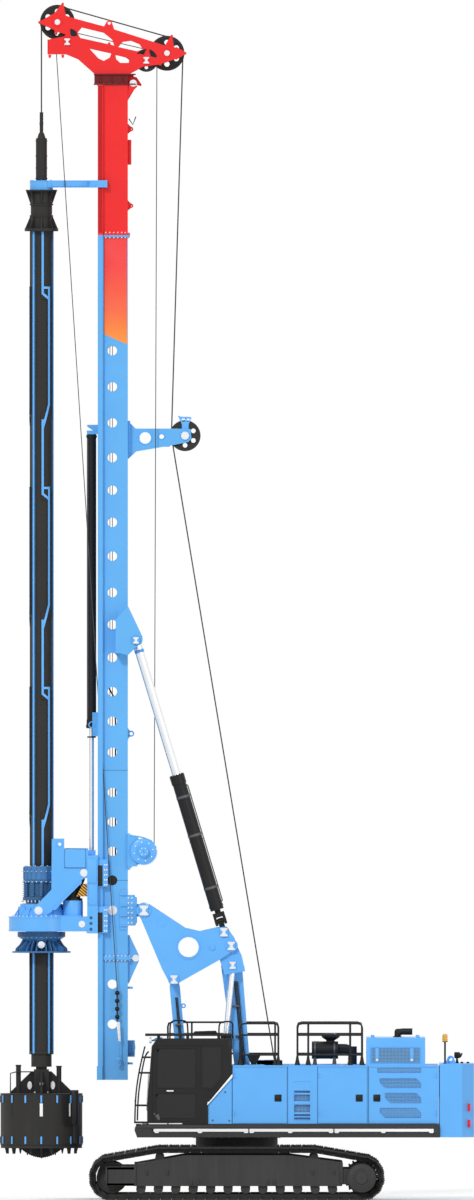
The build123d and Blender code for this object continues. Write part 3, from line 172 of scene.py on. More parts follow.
def metalBuild(colour, rough=0.35, grain=(40, 40, 4), wear=0.12):
    def build(tree):
        place = objectPlace(tree)[0]
        brushed = noise(tree, place, 8, 3, grain)
        clouds = noise(tree, place, 3, 4)
        base = mix(tree, brushed, tuple(c * (1 - wear) for c in colour),
                   tuple(min(1, c * (1 + wear)) for c in colour))
        return {
            "Base Color": base,
            "Roughness": rough + 0.12 * clouds,
            "Normal": bump(tree, brushed, 0.08, 0.001),
        }
    return build


def gritBuild(colour, rough=0.6, scale=90, height=0.25):
    def build(tree):
        place = objectPlace(tree)[0]
        grit = noise(tree, place, scale, 3)
        clouds = noise(tree, place, 2.2, 4)
        base = mix(tree, clouds, tuple(c * 0.86 for c in colour), tuple(c * 1.14 for c in colour))
        return {
            "Base Color": base,
            "Roughness": rough + 0.14 * grit,
            "Normal": bump(tree, grit, height, 0.003),
        }
    return build


def meshBuild(colour, hole, pitch):
    # perforated sheet: round holes on a square grid over the X-Z face, not cut but painted dark as the shade
    # seen through them
    def build(tree):
        place = objectPlace(tree)[0]
        scaled = addNode(tree, "ShaderNodeVectorMath", {"operation": "SCALE"}, {0: place, 3: 1 / pitch})
        cell = addNode(tree, "ShaderNodeVectorMath", {"operation": "FRACTION"}, {0: scaled})
        centred = addNode(tree, "ShaderNodeVectorMath", {"operation": "SUBTRACT"},
                          {0: cell, 1: (0.5, 0.5, 0.5)})
        flat = addNode(tree, "ShaderNodeVectorMath", {"operation": "MULTIPLY"}, {0: centred, 1: (1, 0, 1)})
        away = addNode(tree, "ShaderNodeVectorMath", {"operation": "LENGTH"}, {0: flat}, out=1)
        opening = ramp(tree, away, [(0.30, (1, 1, 1)), (0.38, (0, 0, 0))])
        return {
            "Base Color": mix(tree, opening, colour, hole),
            "Roughness": 0.35 + 0.4 * opening,
            "Normal": bump(tree, 1 - opening, 0.5, 0.004),
        }
    return build


def stripeBuild(first, second, width, slant):
    def build(tree):
        place, (x, _, z) = objectPlace(tree)
        along = (z * slant + x) * (1 / width)
        wave = along.math("FRACT", 0)
        clouds = noise(tree, place, 6, 3)
        return {
            "Base Color": mix(tree, wave > 0.5, first, second),
            "Roughness": 0.35 + 0.15 * clouds,
        }
    return build


def fadeBuild(zLow, zHigh):
    # colour panel on the mast: orange at its foot, red at its top
    def build(tree):
        place, (_, _, z) = objectPlace(tree)
        t = addNode(tree, "ShaderNodeMapRange", None, {0: z, 1: zLow, 2: zHigh, 3: 0.0, 4: 1.0})
        clouds = noise(tree, place, 1.5, 3)
        colour = ramp(tree, t, [(0.0, (1.0, 0.33, 0.02)), (0.35, (0.93, 0.12, 0.03)),
                                (0.75, (0.90, 0.035, 0.035))])
        return {
            "Base Color": mix(tree, 0.06 * clouds, colour, (1, 1, 1)),
            "Roughness": 0.30 + 0.08 * clouds,
        }
    return build


def reflectorBuild(colour):
    def build(tree):
        place = objectPlace(tree)[0]
        cells = addNode(tree, "ShaderNodeTexVoronoi", None, {"Vector": place, "Scale": 70})
        return {
            "Base Color": mix(tree, cells, colour, tuple(min(1, 1.5 * c + 0.03) for c in colour)),
            "Normal": bump(tree, cells, 0.3, 0.002),
        }
    return build


skyBlue = (0.122, 0.440, 0.925)
mastBlue = (0.118, 0.430, 0.850)
signalRed = (0.850, 0.017, 0.019)
coat = {"Coat_Weight": 0.12, "Coat_Roughness": 0.15, "Specular_IOR_Level": 0.3}
flat = {"Specular_IOR_Level": 0.2}
finish = {
    "blue": newMaterial("bluePaint", paintBuild(skyBlue, dust=0.03), **coat),
    "mastBlue": newMaterial("mastBluePaint", paintBuild(mastBlue, dust=0.0), **coat),
    "deepBlue": newMaterial("shadedBluePaint", paintBuild((0.040, 0.120, 0.250), 0.4, 0.0), **flat),
    # darker copy of the blue paint: painted shade for the spring unit and drive flange round the rotary head
    "shadedMidBlue": newMaterial("shadedSpringBluePaint", paintBuild((0.055, 0.200, 0.450), 0.4, 0.0), **coat),
    "red": newMaterial("redPaint", paintBuild(signalRed, dust=0.0), **coat),
    "darkRed": newMaterial("darkRedPaint", paintBuild((0.50, 0.012, 0.016), dust=0.0), **flat),
    "headShade": newMaterial("shadedRedPaint", paintBuild((0.16, 0.012, 0.014), dust=0.0), **flat),
    "darkGrey": newMaterial("chassisGreyPaint", paintBuild((0.040, 0.040, 0.041), 0.45, 0.03, 0.10), **flat),
    "black": newMaterial("satinBlackPaint", paintBuild((0.013, 0.013, 0.014), 0.38, 0.05, 0.15), **flat),
    "cabBlack": newMaterial("cabPaint", paintBuild((0.014, 0.014, 0.014), 0.34, 0.02, 0.12), **flat),
    "kellyDark": newMaterial("kellyTubePaint", paintBuild((0.025, 0.024, 0.023), 0.5, 0.03, 0.15), **flat),
    "trackSteel": newMaterial("trackSteel", gritBuild((0.032, 0.031, 0.030), 0.55, 60, 0.3), **flat),
    "rubber": newMaterial("sealRubber", gritBuild((0.012, 0.012, 0.012), 0.7, 140, 0.15)),
    "hose": newMaterial("hoseRubber", gritBuild((0.016, 0.016, 0.017), 0.5, 160, 0.2)),
    "steel": newMaterial("darkSteel", metalBuild((0.10, 0.105, 0.11), 0.42), Metallic=0.6),
    "rope": newMaterial("wireRope", metalBuild((0.055, 0.057, 0.06), 0.5, (8, 8, 60)), Metallic=0.4),
    "chrome": newMaterial("polishedRod", metalBuild((0.86, 0.88, 0.90), 0.12, (60, 60, 2), 0.04),
                          Metallic=0.85),
    "pin": newMaterial("whitePin", metalBuild((0.80, 0.82, 0.84), 0.35, (30, 30, 30), 0.06), Metallic=0.15),
    "glass": newMaterial("tintedGlass", gritBuild((0.012, 0.012, 0.012), 0.05, 3, 0.0),
                         Specular_IOR_Level=0.35),
    "hazard": newMaterial("hazardStripes",
                          stripeBuild((0.015, 0.015, 0.015), (0.90, 0.42, 0.02), 0.075, 1.2)),
    "grille": newMaterial("perforatedSheet", meshBuild((0.13, 0.33, 0.62), (0.045, 0.10, 0.17), 0.028)),
    "fade": newMaterial("fadedPanelPaint", fadeBuild(17.0, 19.25), **coat),
    "white": newMaterial("reflectiveTape", reflectorBuild((0.86, 0.86, 0.87)), Roughness=0.3),
    "redLens": newMaterial("redReflector", reflectorBuild((0.85, 0.012, 0.02)), Roughness=0.2),
    "amber": newMaterial("amberLens", reflectorBuild((0.92, 0.40, 0.03)), Roughness=0.15,
                         Transmission_Weight=0.2),
    "seat": newMaterial("seatCloth", gritBuild((0.020, 0.021, 0.024), 0.85, 220, 0.3)),
}
print("finishes:", len(finish))


# shapes, all made with bmesh operators

def block(bm, low, high, edge=0.0, steps=2):
    low, high = Vector(low), Vector(high)
    spread = Matrix.Diagonal((*(high - low), 1))
    made = bmesh.ops.create_cube(bm, size=1, matrix=Matrix.Translation((low + high) / 2) @ spread)
    if edge:
        edges = {e for v in made["verts"] for e in v.link_edges}
        bmesh.ops.bevel(bm, geom=list(edges), offset=edge, offset_type="OFFSET", segments=steps, profile=0.5,
                        affect="EDGES", material=-1)


def aimed(p, q):
    p, q = Vector(p), Vector(q)
    turn = (q - p).to_track_quat("Z", "Y").to_matrix().to_4x4()
    return Matrix.Translation((p + q) / 2) @ turn, (q - p).length


def bar(bm, p, q, radius, sides=24, edge=0.0):
    place, length = aimed(p, q)
    made = bmesh.ops.create_cone(bm, cap_ends=True, segments=sides, radius1=radius, radius2=radius,
                                 depth=length, matrix=place)
    if edge:
        rims = [e for e in {e for v in made["verts"] for e in v.link_edges}
                if any(len(f.verts) > 4 for f in e.link_faces)]
        bmesh.ops.bevel(bm, geom=rims, offset=edge, offset_type="OFFSET", segments=2, profile=0.5,
                        affect="EDGES", material=-1)


def slab(bm, outline, y0, y1, edge=0.0):
    # side outline of (x, z) points made as thick as y0 to y1
    corners = [bm.verts.new((x, y0, z)) for x, z in outline]
    face = bm.faces.new(corners)
    grown = bmesh.ops.extrude_face_region(bm, geom=[face])
    moved = [v for v in grown["geom"] if isinstance(v, bmesh.types.BMVert)]
    bmesh.ops.translate(bm, verts=moved, vec=(0, y1 - y0, 0))
    if edge:
        rim = {e for v in moved + corners for e in v.link_edges
               if abs(e.verts[0].co.y - e.verts[1].co.y) < 1e-6}
        bmesh.ops.bevel(bm, geom=list(rim), offset=edge, offset_type="OFFSET", segments=1, profile=0.5,
                        affect="EDGES", material=-1)


def band(inner, outer, low, high):
    # corners of a rectangle: profile of a plain ring, or outline of a plain slab
    return [(inner, low), (outer, low), (outer, high), (inner, high)]


def ring(bm, profile, axisPoint, axis, sides=32):
    # (radius, along) profile spun all the way round an axis
    axis = Vector(axis).normalized()
    side = axis.orthogonal().normalized()
    points = [bm.verts.new(Vector(axisPoint) + side * r + axis * s) for r, s in profile]
    edges = [bm.edges.new((a, b)) for a, b in zip(points, points[1:] + points[:1])]
    bmesh.ops.spin(bm, geom=points + edges, cent=axisPoint, axis=axis, angle=math.tau, steps=sides,
                   use_merge=True)


def sideRings(bm, profile, x, y, z, steps=32):
    # the same turned shape on both sides, facing outwards
    for side in (-1, 1):
        ring(bm, profile, (x, side * y, z), (0, side, 0), steps)


def sideSlabs(bm, outline, near, far, edge=0.0):
    # the same side outline twice, mirrored
    for side in (-1, 1):
        slab(bm, outline, side * near, side * far, edge)


def sideBars(bm, x, near, far, z, radius, sides=24, edge=0.0):
    # the same bar across Y twice, mirrored
    for side in (-1, 1):
        bar(bm, (x, side * near, z), (x, side * far, z), radius, sides, edge)


def sideBlocks(bm, x0, x1, near, far, z0, z1, edge=0.0):
    # the same block twice, mirrored
    for side in (-1, 1):
        y0, y1 = sorted((side * near, side * far))
        block(bm, (x0, y0, z0), (x1, y1, z1), edge)


def stamp(bm, shape, matrix):
    # adds a copy of a small template mesh at a place
    copy = shape.copy()
    copy.transform(matrix)
    bm.from_mesh(copy)
    bpy.data.meshes.remove(copy)


def template(build):
    small = bmesh.new()
    build(small)
    mesh = bpy.data.meshes.new("template")
    small.to_mesh(mesh)
    small.free()
    return mesh


def turned(angle, x, z=0.0, y=0.0):
    # place for a template, turned about an upright axis
    return Matrix.Translation((x, y, z)) @ Matrix.Rotation(angle, 4, "Z")


def allRound(bm, build, count, x, z=0.0, start=0.0):
    # copies of one small shape, evenly turned about an upright axis
    shape = template(build)
    for i in range(count):
        stamp(bm, shape, turned(math.tau * (i + start) / count, x, z))


def nuts(bm, spots, axis, radius=0.024, height=0.03):
    # row of hexagon heads at the given spots
    for spot in spots:
        tip = Vector(spot) + Vector(axis) * height
        bar(bm, spot, tip, radius, 6)


def lineOf(start, end, count):
    start, end = Vector(start), Vector(end)
    return [start.lerp(end, i / (count - 1)) for i in range(count)]


def circleOf(centre, radius, count, axis="Z", start=0.0):
    turns = [start + math.tau * i / count for i in range(count)]
    if axis == "Z":
        return [Vector(centre) + Vector((radius * math.cos(a), radius * math.sin(a), 0)) for a in turns]
    return [Vector(centre) + Vector((radius * math.cos(a), 0, radius * math.sin(a))) for a in turns]


def wrap(centre, radius, start, end, count, y):
    # points along an arc in a plane across Y, between two angles in degrees
    turns = [math.radians(start + (end - start) * i / (count - 1)) for i in range(count)]
    return [(centre.x + radius * math.cos(t), y, centre.z + radius * math.sin(t)) for t in turns]


def frameStrip(bm, outline, y0, y1, width):
    # flat rim along a closed outline, made by insetting its face and dropping the middle
    corners = [bm.verts.new((x, y0, z)) for x, z in outline]
    face = bm.faces.new(corners)
    made = bmesh.ops.inset_region(bm, faces=[face], thickness=width, use_even_offset=True, use_boundary=True)
    bmesh.ops.delete(bm, geom=[face], context="FACES_ONLY")
    grown = bmesh.ops.extrude_face_region(bm, geom=made["faces"])
    moved = [v for v in grown["geom"] if isinstance(v, bmesh.types.BMVert)]
    bmesh.ops.translate(bm, verts=moved, vec=(0, y1 - y0, 0))


def done(name, bm, body, look, slot=None, replaces=()):
    bmesh.ops.remove_doubles(bm, verts=bm.verts, dist=1e-6)
    bmesh.ops.recalc_face_normals(bm, faces=bm.faces)
    mesh = bpy.data.meshes.new(name)
    bm.to_mesh(mesh)
    bm.free()
    return place(name, mesh, body, look, slot, replaces=replaces)


def place(name, mesh, body, look, slot=None, smooth=35, replaces=()):
    mesh.shade_smooth()
    mesh.set_sharp_from_angle(angle=math.radians(smooth))
    piece = bpy.data.objects.new(name, mesh)
    bpy.context.scene.collection.objects.link(piece)
    mesh.materials.clear()
    mesh.materials.append(finish[look])
    if body:
        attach(piece, body)
    if replaces:
        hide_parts(*replaces)
    return piece


def tubing(name, runs, radius, body, look, slot=None, sides=4, bend=0.0, replaces=()):
    # round tube along one or more runs of points, made from a bevelled curve
    curve = bpy.data.curves.new(name, "CURVE")
    curve.dimensions = "3D"
    curve.bevel_depth = radius
    curve.bevel_resolution = sides
    curve.use_fill_caps = True
    curve.resolution_u = 6
    for points in runs:
        kind = "NURBS" if bend else "POLY"
        spline = curve.splines.new(kind)
        spline.points.add(len(points) - 1)
        for knot, point in zip(spline.points, points):
            knot.co = (*point, 1)
        if bend:
            spline.order_u = 3
            spline.use_endpoint_u = True
    holder = bpy.data.objects.new(name + "Curve", curve)
    mesh = bpy.data.meshes.new_from_object(holder)
    mesh.name = name
    bpy.data.objects.remove(holder)
    bpy.data.curves.remove(curve)
    return place(name, mesh, body, look, slot, 60, replaces)


def repaint(look, *names):
    for name in names:
        for holder in nodes[name].material_slots:
            holder.material = finish[look]


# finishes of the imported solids

nodeLooks = {
    "blue": ["engine_house", "door_left_front", "door_left_middle", "door_left_rear", "door_right_front",
             "door_right_rear", "hood", "counterweight", "boom", "front_link", "triangle", "swivel_bracket",
             "rotary_frame", "kelly_guide"],
    "mastBlue": ["mast_lower", "mast_middle"],
    "red": ["mast_upper", "mast_head_frame"],
    "darkGrey": ["car_body", "track_frame_left", "track_frame_right", "deck", "catwalk_left",
                 "catwalk_right"],
    "trackSteel": ["track_left", "track_right", "bucket_base", "engine", "main_sheave_front",
                   "main_sheave_rear", "service_sheave_front", "service_sheave_rear", "guide_sheave"],
    "cabBlack": ["cab_shell", "cab_door"],
    "glass": ["cab_glass"],
    "seat": ["cab_interior"],
    "black": ["handrails", "intake_and_exhaust", "luff_barrels", "stay_foot_left", "stay_foot_right",
              "stay_barrel_left", "stay_barrel_right", "crowd_barrel", "rotary_motors"],
    "chrome": ["luff_rods", "stay_rod_left", "stay_rod_right", "crowd_rod"],
    "kellyDark": ["outer_kelly", "inner_kelly", "bucket"],
    "steel": ["main_winch_drum", "service_winch_drum"],
    "deepBlue": ["drive_sleeve"],
    "amber": ["beacon"],
}
for look, names in nodeLooks.items():
    for name in names:
        mesh = nodes[name].data
        if not mesh.materials:
            mesh.materials.append(finish[look])
        repaint(look, name)
print("solids finished:", sum(len(names) for names in nodeLooks.values()))


# tracks: shoes, chain, sprocket and roller trim

trackTrim = {"shoes": 58, "plate": 0.030, "grouser": 0.015, "teeth": 21, "rollers": 12, "pitch": 0.348,
             "wheelX": 2.4925, "wheelR": 0.460, "carrierX": 1.540, "carrierReach": 0.242, "top": 1.090,
             "middle": 1.800, "wide": 0.800}


def beltPath(circles, count):
    # evenly spaced places round a belt, each a point and its outward normal
    def leaving(a, b):
        return math.atan2(b[1] - a[1], b[0] - a[0]) - math.acos((a[2] - b[2]) / math.dist(a[:2], b[:2]))
    dense, steps = [], 48
    for i, (x, z, r) in enumerate(circles):
        start = leaving(circles[i - 1], circles[i])
        sweep = (leaving(circles[i], circles[(i + 1) % len(circles)]) - start) % math.tau
        for k in range(steps + 1):
            a = start + sweep * k / steps
            dense.append((x + r * math.cos(a), z + r * math.sin(a), a))
    dense.append(dense[0])
    lengths = [math.dist(p[:2], q[:2]) for p, q in zip(dense, dense[1:])]
    total, spots = sum(lengths), []
    for i in range(count):
        s = total * i / count
        for length, p, q in zip(lengths, dense, dense[1:]):
            if s <= length:
                break
            s -= length
        t = s / max(length, 1e-9)
        turn = (q[2] - p[2] + math.pi) % math.tau - math.pi
        a = p[2] + turn * t
        spots.append((p[0] + (q[0] - p[0]) * t, p[1] + (q[1] - p[1]) * t, a))
    return spots, total / count


def trackBelt(side, name):
    t = trackTrim
    circles = [(-t["wheelX"], t["wheelR"], t["wheelR"]), (t["wheelX"], t["wheelR"], t["wheelR"]),
               (t["carrierX"], t["top"] - t["carrierReach"], t["carrierReach"]),
               (-t["carrierX"], t["top"] - t["carrierReach"], t["carrierReach"])]
    spots, pitch = beltPath(circles, t["shoes"])
    middle, half = side * t["middle"], t["wide"] / 2

    def shoe(small):
        block(small, (-pitch / 2 + 0.004, -half, -t["grouser"] - t["plate"]),
              (pitch / 2 - 0.004, half, -t["grouser"]))
        for at in (-0.36, 0.02, 0.40):
            block(small, (at * pitch - 0.008, -half, -t["grouser"]), (at * pitch + 0.008, half, 0))
        for y in (-0.125, 0.125):
            block(small, (-pitch / 2 - 0.012, y - 0.02, -0.136), (pitch / 2 - 0.016, y + 0.02, -0.045))
            for bolt in (-0.05, 0.05):
                bar(small, (bolt, y * 1.8, -t["grouser"]), (bolt, y * 1.8, -0.002), 0.013, 6)
        bar(small, (pitch / 2 - 0.03, -0.165, -0.092), (pitch / 2 - 0.03, 0.165, -0.092), 0.028, 8)

    link = template(shoe)
    bm = bmesh.new()
    for x, z, a in spots:
        stamp(bm, link, Matrix.Translation((x, middle, z)) @ Matrix.Rotation(math.pi / 2 - a, 4, "Y"))
    done("trackBelt" + name, bm, "track_side_" + name.lower(), "trackSteel",
         replaces=["track_" + name.lower()])


def trackTrimPieces(side, name):
    t = trackTrim
    body = "track_side_" + name.lower()
    outer = side * (t["middle"] + 0.235)
    bm = bmesh.new()
    for x in (-t["wheelX"], t["wheelX"]):
        ring(bm, band(0.235, 0.300, -0.10, 0.10), (x, side * t["middle"], t["wheelR"]),
             (0, 1, 0), 40)
    tooth = template(lambda small: block(small, (0.29, -0.035, -0.02), (0.345, 0.035, 0.02), 0.008, 1))
    for i in range(t["teeth"]):
        stamp(bm, tooth, Matrix.Translation((t["wheelX"], side * t["middle"], t["wheelR"])) @
              Matrix.Rotation(math.tau * i / t["teeth"], 4, "Y"))
    for k in range(t["rollers"]):
        x = (k - (t["rollers"] - 1) / 2) * t["pitch"]
        for y in (-0.16, 0.13):
            ring(bm, band(0.03, 0.094, y, y + 0.03),
                 (x, side * t["middle"], 0.236), (0, 1, 0), 20)
    done("trackWheels" + name, bm, body, "trackSteel")
    bm = bmesh.new()
    hub = (t["wheelX"], outer, t["wheelR"])
    ring(bm, [(0.10, 0.0), (0.275, 0.0), (0.275, 0.055), (0.235, 0.075), (0.10, 0.075)], hub, (0, side, 0),
         48)
    ring(bm, [(0.01, 0.03), (0.135, 0.03), (0.120, 0.10), (0.01, 0.105)], hub, (0, side, 0), 32)
    nuts(bm, circleOf((hub[0], hub[1] + side * 0.072, hub[2]), 0.185, 16, "Y"), (0, side, 0), 0.014, 0.018)
    nuts(bm, circleOf((hub[0], hub[1] + side * 0.045, hub[2]), 0.256, 24, "Y"), (0, side, 0), 0.010, 0.022)
    # idler yoke with its guide plates and the seam of the girder
    y0, y1 = sorted((outer, outer + side * 0.03))
    for x0, x1, z0, z1 in ((-2.60, -2.03, 0.30, 0.36), (-2.60, -2.03, 0.62, 0.68),
                           (-2.62, -2.56, 0.30, 0.68)):
        block(bm, (x0, y0, z0), (x1, y1, z1), 0.008)
    for x0, x1, z0, z1 in ((-2.05, -2.01, 0.296, 0.74), (2.06, 2.12, 0.34, 0.76)):
        block(bm, (x0, y0 - 0.002, z0), (x1, y1, z1), 0.006)
    for places, half, z0, z1 in (((-1.79, -1.38, 1.52, 1.94), 0.012, 0.52, 0.62),
                                 ((-0.90, -0.76, 0.62, 0.76), 0.014, 0.30, 0.42)):
        for x in places:
            block(bm, (x - half, y0, z0), (x + half, y1 - 0.014 * side, z1), 0.003)
    for x in (-t["carrierX"], t["carrierX"]):
        ring(bm, [(0.02, -0.16), (0.088, -0.16), (0.088, -0.10), (0.070, -0.09), (0.070, 0.09), (0.088, 0.10),
                  (0.088, 0.16), (0.02, 0.16)], (x, side * t["middle"], t["top"] - t["carrierReach"]),
                  (0, 1, 0), 28)
    nuts(bm, lineOf((-1.95, outer, 0.70), (-1.20, outer, 0.80), 6), (0, side, 0), 0.012, 0.014)
    done("trackFrameTrim" + name, bm, body, "darkGrey")


for side, name in ((-1, "Left"), (1, "Right")):
    trackBelt(side, name)
    trackTrimPieces(side, name)

bm = bmesh.new()
ring(bm, [(0.70, 1.03), (0.80, 1.03), (0.80, 1.10), (0.76, 1.105), (0.70, 1.105)], (0, 0, 0), (0, 0, 1), 72)
nuts(bm, circleOf((0, 0, 1.10), 0.775, 40), (0, 0, 1), 0.016, 0.02)
done("slewRingBolts", bm, "undercarriage", "darkGrey")
bm = bmesh.new()
ring(bm, [(0.74, 1.170), (0.818, 1.170), (0.818, 1.225), (0.80, 1.262), (0.74, 1.262)], (0, 0, 0), (0, 0, 1),
     72)
nuts(bm, circleOf((0.0, 0, 1.255), 0.86, 36), (0, 0, -1), 0.015, 0.02)
done("slewRingCollar", bm, "upper_structure", "steel")
print("tracks and slew ring done")


# deck edge: reflective tape, rails and divider blocks

deckTrim = {"railLow": 1.266, "railHigh": 1.440, "tapeLow": 1.380, "tapeHigh": 1.436,
            "start": -1.66, "end": 3.93, "tabs": [-1.595, -0.736, 0.185, 0.300, 1.068, 1.882, 1.998, 2.928,
                                                  3.885]}
low, high = deckTrim["railLow"], deckTrim["railHigh"]
for side, name in ((-1, "Left"), (1, "Right")):
    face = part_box("catwalk_left")[0].y if side < 0 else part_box("catwalk_right")[1].y
    y0, y1 = sorted((face - side * 0.030, face + side * 0.004))
    bm = bmesh.new()
    block(bm, (deckTrim["start"], y0, deckTrim["tapeLow"]),
          (deckTrim["end"], y1 - 0.004 * (side > 0), deckTrim["tapeHigh"]))
    for x in deckTrim["tabs"]:
        slab(bm, [(x - 0.055, 1.382), (x - 0.032, 1.352), (x + 0.032, 1.352), (x + 0.055, 1.382)], y0, y1)
    done("reflectiveTape" + name, bm, "upper_structure", "white")
    bm = bmesh.new()
    edges = [-2.0] + deckTrim["tabs"] + [3.98]
    for a, b in zip(edges, edges[1:]):
        if b - a > 0.2:
            slab(bm, [(a + 0.03, low), (b - 0.03, low), (b - 0.045, 1.348), (b - 0.085, 1.374),
                      (a + 0.085, 1.374), (a + 0.045, 1.348)], y0, face + side * 0.006)
    block(bm, (-2.02, y0, high), (4.035, y1, high + 0.060), 0.004)
    for x in (0.242, 1.940):
        block(bm, (x - 0.012, y0, low), (x + 0.012, y1, high))
    block(bm, (3.945, y0, low), (4.035, y1, high), 0.006)
    done("deckRails" + name, bm, "upper_structure", "darkGrey")

# cab trim

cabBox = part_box("cab_shell")
cabSide, cabFar = cabBox[0].y, cabBox[1].y
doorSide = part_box("cab_door")[0].y

upperPane = [(-1.600, 2.246), (-0.814, 2.246), (-0.814, 3.040), (-1.540, 3.040), (-1.590, 2.950)]
lowerPane = [(-1.560, 1.643), (-0.814, 1.643), (-0.814, 2.141), (-1.560, 2.141), (-1.620, 2.050),
             (-1.620, 1.800)]
rearPane = [(-0.700, 2.240), (-0.490, 2.240), (-0.305, 2.450), (-0.305, 3.085), (-0.700, 3.085)]
bm = bmesh.new()
for outline in (upperPane, lowerPane):
    slab(bm, outline, doorSide + 0.012, doorSide + 0.020)
done("doorPanes", bm, "cab_door", "glass")
bm = bmesh.new()
for outline in (upperPane, lowerPane):
    frameStrip(bm, outline, doorSide - 0.006, doorSide + 0.012, 0.024)
done("doorSeals", bm, "cab_door", "rubber")
bm = bmesh.new()
block(bm, (-1.40, doorSide - 0.045, 2.178), (-1.26, doorSide - 0.018, 2.208), 0.008)
for x in (-1.385, -1.275):
    block(bm, (x - 0.012, doorSide - 0.02, 2.178), (x + 0.012, doorSide, 2.208), 0.003)
done("doorHandle", bm, "cab_door", "pin")
bm = bmesh.new()
for z in (1.72, 3.0):
    bar(bm, (-0.744, doorSide, z - 0.05), (-0.744, doorSide, z + 0.05), 0.012, 16)
done("doorHinges", bm, "cab_door", "rubber")
bm = bmesh.new()
slab(bm, rearPane, cabSide + 0.002, cabSide + 0.010)
done("quarterPane", bm, "upper_structure", "glass")
bm = bmesh.new()
frameStrip(bm, [(-0.716, 2.224), (-0.482, 2.224), (-0.289, 2.442), (-0.289, 3.101), (-0.716, 3.101)],
           cabSide - 0.006, cabSide + 0.010, 0.022)
block(bm, (-0.16, cabSide - 0.004, 3.05), (-0.10, cabSide + 0.02, 3.20), 0.01)
done("cabSeals", bm, "upper_structure", "rubber")
bm = bmesh.new()
slab(bm, [(-0.585, 1.965), (-0.545, 1.985), (-0.085, 2.535), (-0.085, 2.470), (-0.585, 1.905)],
     cabSide - 0.008, cabSide + 0.02)
# painted light: these two white strips at the cab's foot stand in for the bright background seen through the
# gap between cab and deck
block(bm, (-1.76, cabSide - 0.004, 1.530), (-1.39, cabSide + 0.02, 1.548))
block(bm, (-1.36, cabSide - 0.004, 1.530), (-1.09, cabSide + 0.02, 1.548))
done("cabStripeAndGapLight", bm, "upper_structure", "white")
bm = bmesh.new()
slab(bm, [(-0.576, 1.532), (-0.098, 1.532), (-0.098, 2.462), (-0.576, 1.900)], cabSide + 0.03, cabSide + 0.06,
     0.004)
done("toolPanel", bm, "upper_structure", "blue")
bm = bmesh.new()
nuts(bm, [(-0.232, cabSide + 0.03, 2.170), (-0.150, cabSide + 0.03, 1.600), (-0.48, cabSide + 0.03, 1.605)],
     (0, -1, 0), 0.018, 0.014)
slab(bm, [(-1.63, 1.70), (-1.56, 1.74), (-1.53, 1.62), (-1.57, 1.61)], cabSide - 0.012, cabSide)
bar(bm, (-1.64, cabSide + 0.005, 1.735), (-1.64, cabSide - 0.02, 1.735), 0.02, 16)
done("cabFasteners", bm, "upper_structure", "steel")
bm = bmesh.new()
slab(bm, [(-1.738, 3.176), (-1.610, 3.246), (-1.486, 3.256), (-1.486, 3.176)], -0.55, cabFar - 0.03, 0.006)
done("roofFairing", bm, "upper_structure", "blue")
bm = bmesh.new()
for y in (cabSide + 0.02, cabSide + 0.30, cabSide + 0.58, cabFar - 0.08):
    block(bm, (-1.83, y - 0.018, 3.288), (-0.085, y + 0.018, 3.334), 0.006)
for x in (-1.81, -1.40, -0.95, -0.50, -0.12):
    block(bm, (x - 0.02, cabSide + 0.02, 3.292), (x + 0.02, cabFar - 0.08, 3.330), 0.006)
for x in (-1.56, -0.98, -0.36):
    for y in (cabSide + 0.05, cabFar - 0.12):
        block(bm, (x - 0.03, y - 0.03, 3.225), (x + 0.03, y + 0.03, 3.292), 0.006)
slab(bm, [(-0.88, 3.334), (-0.84, 3.380), (-0.42, 3.392), (-0.376, 3.334)], cabSide + 0.18, cabFar - 0.25,
     0.012)
done("roofGuard", bm, "upper_structure", "black")
hoopY = cabFar - 0.05
tubing("roofHoops", [
    [(-1.336, hoopY, 3.23), (-1.336, hoopY, 3.50), (-1.300, hoopY, 3.575), (-1.200, hoopY, 3.595),
     (-1.100, hoopY, 3.595), (-1.010, hoopY, 3.575), (-0.976, hoopY, 3.50), (-0.976, hoopY, 3.23)],
    [(-0.358, hoopY, 3.23), (-0.358, hoopY, 3.48), (-0.330, hoopY, 3.545), (-0.250, hoopY, 3.570),
     (-0.130, hoopY, 3.570), (-0.09, hoopY, 3.545), (-0.08, hoopY, 3.48), (-0.08, hoopY, 3.23)],
], 0.016, "upper_structure", "black", bend=1)
guardRuns = []
for y in (cabSide + 0.03, (cabSide + cabFar) / 2, cabFar - 0.03):
    guardRuns.append([(-2.036, y, 1.545), (-2.030, y, 2.00), (-1.975, y, 2.45), (-1.905, y, 2.80),
                      (-1.835, y, 3.075)])
    guardRuns.append([(-1.985, y, 1.60), (-1.978, y, 2.00), (-1.925, y, 2.42), (-1.862, y, 2.75),
                      (-1.815, y, 2.93), (-1.760, y, 2.975)])
for x, z in ((-2.030, 1.99), (-1.940, 2.62), (-1.836, 3.06), (-2.036, 1.56)):
    guardRuns.append([(x, cabSide + 0.03, z), (x, cabFar - 0.03, z)])
for x, z in ((-2.030, 1.90), (-1.955, 2.55), (-1.88, 2.86), (-2.035, 1.56)):
    for y in (cabSide + 0.03, cabFar - 0.03):
        guardRuns.append([(x, y, z), (-1.72, y, z)])
tubing("frontGuard", guardRuns, 0.015, "upper_structure", "black", bend=1)
bm = bmesh.new()
for y in (cabSide + 0.10, cabFar - 0.10):
    ring(bm, [(0.01, 0.0), (0.052, 0.0), (0.060, 0.02), (0.055, 0.045), (0.01, 0.05)], (-1.70, y, 3.20),
         (-1, 0, 0), 24)
bar(bm, (-1.80, -1.15, 1.80), (-1.76, -1.15, 2.55), 0.012, 10)
done("cabLamps", bm, "upper_structure", "pin")
print("cab and deck done")


# engine house: seams, latches, ladder, louvres, hood

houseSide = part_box("door_left_rear")[0].y
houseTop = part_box("engine_house")[1].z
slatStep, louvreEnd, latchZ = 0.030, 3.676, 2.050


